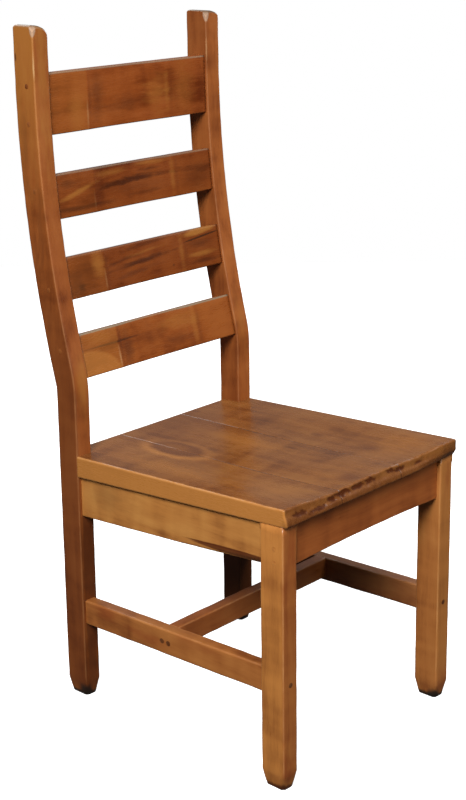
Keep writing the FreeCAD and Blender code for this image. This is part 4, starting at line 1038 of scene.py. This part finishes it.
# Seat: three maple boards glued edge to edge and hollowed together with a scraper. Their
# front keeps the wavy, gouged edge of the tree; the other edges are rounded by hand.
SEAT_REAR = 0.479
SEAT_TOP_FRONT = 0.457
SEAT_SLOPE = 0.0275 / 0.488
SEAT_SLAB = 0.03
SEAT_ARRIS = 0.003
LEFT_GLUE = -0.082
RIGHT_GLUE = 0.062
GLUE_SQUEEZE = 0.00006
GLUE_GROOVE = 0.0002
BESIDE_POST = 0.2055
DISH = (0.0, 0.1499, 0.35, 0.59, 0.0045)
THIGHS = ((-0.092, 0.09, 0.18, 0.479, 0.0065), (0.092, 0.09, 0.18, 0.479, 0.0065))
SEAT_TONES = tones(0.232, 0.081, 0.018)
BITTEN = rgb(0.085, 0.02, 0.004)
BARK_PATCHES = (
    (-0.174, 0.444, 0.019, 0.0042),
    (-0.137, 0.4395, 0.024, 0.003),
    (-0.104, 0.4445, 0.014, 0.005),
    (-0.074, 0.4455, 0.026, 0.0056),
    (-0.038, 0.446, 0.026, 0.005),
    (-0.01, 0.448, 0.013, 0.0052),
    (0.04, 0.4485, 0.01, 0.004),
    (0.062, 0.445, 0.02, 0.0034),
    (0.11, 0.4425, 0.012, 0.002),
)
BARK_DEPTH = 0.0007
RIGHT_CORNER_CUT = 0.0045
SEAT_STAINS = (
    (-CHAIR_HALF, -front_legs_y, 0.43, 0.0045, ANY, ANY, HONEY, 0.75, 0.3, 0.8),
    (0, SEAT_FRONT, 0.43, ANY, 0.014, 0.022, UMBER, 0.38, 0.3, 0.8),
    (-0.07, SEAT_FRONT, 0.452, 0.15, 0.01, 0.007, UMBER, 0.75, 0.5, 0.9),
    (0.14, SEAT_FRONT, 0.45, 0.06, 0.01, 0.008, OCHRE, 0.3, 0.3, 0.9),
    (LEFT_GLUE, -front_legs_y, 0.44, 0.0011, ANY, ANY, BARK, 0.75, 0.05, 0.7),
    (RIGHT_GLUE, -front_legs_y, 0.44, 0.0011, ANY, ANY, BARK, 0.75, 0.05, 0.7),
    (0.108, 0.086, 0.45, 0.02, 0.035, ANY, UMBER, 0.65, 0.3, 1.0),
    (0.112, 0.205, 0.44, 0.014, 0.022, ANY, UMBER, 0.6, 0.3, 1.0),
    (-0.03, 0.022, 0.45, 0.026, 0.03, ANY, UMBER, 0.7, 0.4, 1.0),
    (-0.055, 0.05, 0.45, 0.012, 0.026, ANY, UMBER, 0.5, 0.4, 1.0),
    (-0.084, 0.338, 0.44, 0.046, 0.086, ANY, HONEY, 0.6, 0.1, 0.4),
    (-0.08, 0.34, 0.44, 0.037, 0.076, ANY, UMBER, 0.82, 0.1, 0.4),
    (-0.076, 0.35, 0.44, 0.022, 0.05, ANY, OCHRE, 0.25, 0.2, 0.9),
    (-0.04, 0.39, 0.44, 0.05, 0.022, ANY, UMBER, 0.3, 0.4, 1.0),
    (-0.16, 0.26, 0.44, 0.032, 0.19, ANY, OCHRE, 0.7, 0.3, 1.0),
    (0.02, 0.26, 0.44, 0.045, 0.12, ANY, OCHRE, 0.55, 0.4, 1.0),
    (0.15, 0.06, 0.45, 0.06, 0.06, ANY, OCHRE, 0.45, 0.4, 1.0),
    (-0.14, 0.08, 0.45, 0.06, 0.08, ANY, OCHRE, 0.4, 0.4, 1.0),
    (0.02, 0.06, 0.45, 0.14, 0.06, ANY, OCHRE, 0.28, 0.4, 1.0),
    (0.02, 0.44, 0.43, 0.17, 0.13, ANY, UMBER, 0.45, 0.3, 1.0),
)
SEAT_MARKS = [
    ((x, front_legs_y + back, z), (wide, deep, tall), *stain)
    for x, back, z, wide, deep, tall, *stain in SEAT_STAINS
]
seat_rows = [SEAT_FRONT, -0.004, 0.001, 0.006, 0.012, 0.019, 0.027]
seat_rows += [0.027 + 0.0138 * k for k in range(1, 31)] + [0.4445, 0.45, 0.46, 0.47, SEAT_REAR]


def hollow(x, back):
    """Depth of the seat's hollows."""
    depths = []
    for middle_x, middle_back, width, length, depth in (DISH, *THIGHS):
        share = (2 * (x - middle_x) / width) ** 2 + (2 * (back - middle_back) / length) ** 2
        depths.append(depth * (1 - share))
    soft = 0.0009
    return soft * math.log(sum(math.exp(depth / soft) for depth in (*depths, 0.0)))


def bark_at(x, height):
    """How deep the bark bites into the seat's front, from 0 to 1."""
    deepest = 0.0
    for patch_x, patch_z, wide, tall in BARK_PATCHES:
        reach = math.hypot((x - patch_x) / wide, (height - patch_z) / tall)
        ragged = 0.75 * noise.noise(Vector((x * 95, height * 210, 5)))
        ragged += 0.35 * noise.noise(Vector((x * 240, height * 420, 9)))
        deepest = max(deepest, faded(1.0 - reach + ragged, 0.05, 0.35))
    return deepest


def seat_form(spot):
    """From the plain slab to the sloping, hollowed seat with its live front edge."""
    x, back, drop = spot
    top = SEAT_TOP_FRONT - (back - SEAT_FRONT) * SEAT_SLOPE - hollow(x, back)
    under = seat_under(back)
    share = faded(drop, -SEAT_SLAB + 0.006, -0.008)
    height = (under + drop + SEAT_SLAB) * (1 - share) + (top + drop) * share
    front = 1 - faded(back, SEAT_FRONT, 0.02)
    to_right = faded(x, 0.1, 0.2)
    lean = 0.006 * faded(drop, -SEAT_SLAB, 0) * (1 - to_right)
    lean += RIGHT_CORNER_CUT * to_right * faded(-drop, 0.018, SEAT_SLAB)
    waves = 0.001 * noise.noise(Vector((x * 26, 0, 3)))
    nicks = 0.0006 * noise.noise(Vector((x * 110, height * 90, 8)))
    back += front * (lean + (0.0012 + waves + nicks))
    height += front * share * 0.0011 * noise.noise(Vector((x * 34, 0, 11)))
    deep = bark_at(x, height) * front ** 2
    return Vector((x, front_legs_y + back + deep * BARK_DEPTH, height)), deep


def in_rows(corner):
    """Set the crosswise cuts of a board to the seat's rows."""
    return Vector((corner.x, seat_rows[round(corner.y * (len(seat_rows) - 1))], corner.z))


def open_edge(edge):
    """Whether an edge of a board is sharp and not one of those glued to the next board."""
    glued = abs(edge.verts[0].co.x) < 0.2 and any(
        abs(abs(face.normal.x) - 1) < 0.01 for face in edge.link_faces)
    return sharp(edge, 0.9) and not glued


BOARDS = (
    ("left", -CHAIR_HALF, LEFT_GLUE),
    ("middle", LEFT_GLUE, RIGHT_GLUE),
    ("right", RIGHT_GLUE, CHAIR_HALF),
)
for place_name, low_x, high_x in BOARDS:
    board = start_block(f"seat_plank_{place_name}", (low_x, 0, -SEAT_SLAB), (high_x, 1, 0))
    mark_off(board, 1, len(seat_rows) - 2)
    mark_off(board, 0, round((high_x - low_x) / 0.0046))
    mark_off(board, 2, 5)
    shape(board, in_rows)
    ease(board, SEAT_ARRIS, 3, open_edge)
    bpy.ops.object.mode_set(mode="OBJECT")
    finer = board.modifiers.new("finer", "SUBSURF")
    finer.subdivision_type = "SIMPLE"
    finer.levels = 1
    finer.render_levels = 1
    bpy.ops.object.modifier_apply(modifier=finer.name)
    bitten = board.data.attributes.new("painted", "FLOAT", "POINT").data
    rounded = board.data.attributes["edge"].data
    for vertex in board.data.vertices:
        spot = vertex.co.copy()
        if min(abs(spot.x - LEFT_GLUE), abs(spot.x - RIGHT_GLUE)) < 1e-5:
            spot.x += math.copysign(GLUE_SQUEEZE, spot.x - (low_x + high_x) / 2)
            if spot.z > -0.0005:
                spot.z -= GLUE_GROOVE
        if spot.y > POSTS_BACK + 0.001 and abs(spot.x) > BESIDE_POST:
            spot.x = math.copysign(BESIDE_POST, spot.x)
        vertex.co, bitten[vertex.index].value = seat_form(spot)
        rounded[vertex.index].value *= faded(spot.y, 0.004, 0.02)
    board.data.update()
    bpy.ops.object.mode_set(mode="EDIT")
    finish_block(board, 0.0, 0.0)
    board.data.materials.append(stained(
        f"seat_maple_{place_name}", "y", (low_x * 7, 0.2, low_x * 3), SEAT_TONES, SEAT_MARKS,
        blotches=0.6, dullness=0.27, rubbing_and_highlight=0.35, painted=BITTEN))
    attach(board, "root")
    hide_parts(f"seat_board_{place_name}")

# Corner blocks: offcuts of plain maple, glued and screwed into the corners of the aprons
# under the seat, left without stain.
BLOCK_TONES = tones(0.42, 0.26, 0.12)
BLOCK_ARRIS = 0.0006


def take_up(piece):
    """Make a piece the only one selected, and the active one."""
    bpy.ops.object.select_all(action="DESELECT")
    piece.select_set(True)
    bpy.context.view_layer.objects.active = piece


for end in ("front", "rear"):
    for side in ("left", "right"):
        node = f"corner_block_{end}_{side}"
        block = bpy.data.objects.new(f"brace_{end}_{side}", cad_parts[node].data.copy())
        scene.collection.objects.link(block)
        take_up(block)
        open_up(block)
        bpy.ops.mesh.select_all(action="SELECT")
        bpy.ops.mesh.remove_doubles(threshold=1e-6)
        bpy.ops.mesh.dissolve_limited(angle_limit=0.02)
        ease(block, BLOCK_ARRIS, 2, lambda edge: sharp(edge, 0.7))
        finish_block(block, 0.0, 0.0)
        block.data.materials.clear()
        block.data.materials.append(stained(
            f"block_maple_{end}_{side}", "x", (len(end), len(side), 0.4), BLOCK_TONES, blotches=0.4,
            rubbing_and_highlight=0.1))
        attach(block, "root")
        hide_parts(node)

# Screws and plugs: steel wood screws with cross recesses hold the joints; where they
# would show, a turned maple plug is glued over each and pared flush with the timber.
PLUG_RADIUS = 0.0043
PLUG_LENGTH = 0.006
PLUG_ARRIS = 0.0005
bpy.ops.object.select_all(action="DESELECT")
bpy.ops.mesh.primitive_cylinder_add(vertices=24, radius=PLUG_RADIUS, depth=PLUG_LENGTH)
plug_master = bpy.context.object
open_up(plug_master)
ease(plug_master, PLUG_ARRIS, 2, lambda edge: sharp(edge, 0.9))
bpy.ops.object.mode_set(mode="OBJECT")

SHANK = 0.002
THREAD_PITCH = 0.0026
THREADED_SHARE = 0.62
THREAD_START = 0.36
POINT_START = 0.86
HEAD_HEIGHT = 0.0024
HEAD_GIRTH = 2.05
HEAD_ROUND = 0.0009
RECESS = (0.0046, 0.0009, 0.0024)


def screw_master(length):
    """A pan-headed wood screw along Z, its middle at the origin and its head upwards."""
    bpy.ops.object.select_all(action="DESELECT")
    bpy.ops.mesh.primitive_cylinder_add(vertices=14, radius=SHANK, depth=length)
    screw = bpy.context.object
    bpy.ops.object.mode_set(mode="EDIT")
    scene.tool_settings.mesh_select_mode = (False, True, False)
    turns = round(length * THREADED_SHARE / THREAD_PITCH) * 2
    mark_off(screw, 2, 2 * turns)

    def thread(corner):
        """Head, plain neck, thread and point."""
        along = (length / 2 - corner.z) / length
        girth = 1.0
        if along * length < HEAD_HEIGHT:
            girth = HEAD_GIRTH * (1 - 0.18 * max(0.0, 1 - along * length / HEAD_ROUND) ** 2)
        elif along > THREAD_START:
            ring = round(along * (2 * turns + 1))
            girth = 1.08 if ring % 2 else 0.72
        if along > POINT_START:
            girth *= max(0.04, (1 - along) / (1 - POINT_START))
        return Vector((corner.x * girth, corner.y * girth, corner.z))

    shape(screw, thread)
    bpy.ops.object.mode_set(mode="OBJECT")
    for turn in (0, math.pi / 2):
        bpy.ops.mesh.primitive_cube_add(size=1, location=(0, 0, length / 2), scale=RECESS,
                                        rotation=(0, 0, turn))
        blade = bpy.context.object
        cut = screw.modifiers.new("recess", "BOOLEAN")
        cut.object = blade
        cut.operation = "DIFFERENCE"
        take_up(screw)
        bpy.ops.object.modifier_apply(modifier=cut.name)
        bpy.data.objects.remove(blade)
    return screw


def head_way(node, middle, axis):
    """Which way along the axis the head of a screw or plug points."""
    if node == "seat_screws":
        return -1.0
    beyond = middle[axis] > (0 if axis == 0 else -0.03)
    return 1.0 if beyond != (node == "block_screws") else -1.0


def driven(name, master, node, slender):
    """Copies of a screw or plug at each solid of a CAD node, as one piece."""
    gathered = bmesh.new()
    for low, high in loose_parts(node):
        size = high - low
        axis = list(size).index(max(size) if slender else min(size))
        middle = (low + high) / 2
        away = Vector((0, 0, 0))
        away[axis] = head_way(node, middle, axis)
        turn = away.to_track_quat("Z", "Y").to_matrix().to_4x4()
        copied = master.data.copy()
        copied.transform(Matrix.Translation(middle) @ turn)
        gathered.from_mesh(copied)
        bpy.data.meshes.remove(copied)
    made = bpy.data.meshes.new(name)
    gathered.to_mesh(made)
    gathered.free()
    piece = bpy.data.objects.new(name, made)
    scene.collection.objects.link(piece)
    take_up(piece)
    bpy.ops.object.shade_smooth_by_angle(angle=0.7)
    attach(piece, "root")
    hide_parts(node)
    return piece


steel = bpy.data.materials.new("zinc_steel")
steel.use_nodes = True
tree = steel.node_tree
shader = tree.nodes["Principled BSDF"]
shader.inputs["Metallic"].default_value = 1.0
spot = put(tree, "TexCoord").outputs["Object"]
dull = put(tree, "TexNoise", {"Vector": spot, "Scale": 900.0, "Detail": 3.0})
tint = mixed(tree, dull.outputs[0], rgb(0.42, 0.4, 0.36), rgb(0.66, 0.62, 0.54))
tree.links.new(tint, shader.inputs["Base Color"])
rough = put(tree, "MapRange", {"Value": dull.outputs[0], "To Min": 0.25, "To Max": 0.55})
tree.links.new(rough.outputs[0], shader.inputs["Roughness"])

PLUG_TONES = {
    "slat": tones(0.24, 0.07, 0.015),
    "stretcher": tones(0.13, 0.042, 0.011),
    "cross": tones(0.13, 0.042, 0.011),
    "apron": tones(0.5, 0.19, 0.042),
}
long_screw = screw_master(0.042)
short_screw = screw_master(0.03)
for kind, plug_tones in PLUG_TONES.items():
    piece = driven(f"{kind}_peg_plugs", plug_master, f"{kind}_plugs", False)
    piece.data.materials.append(stained(f"plug_maple_{kind}", "x", (0.1, 0.6, len(kind)), plug_tones,
                                        rubbing_and_highlight=0.0))
for kind in ("slat", "stretcher", "cross", "apron", "seat", "block"):
    master = short_screw if kind == "block" else long_screw
    piece = driven(f"{kind}_wood_screws", master, f"{kind}_screws", True)
    piece.data.materials.append(steel)
for master in (plug_master, long_screw, short_screw):
    bpy.data.objects.remove(master)
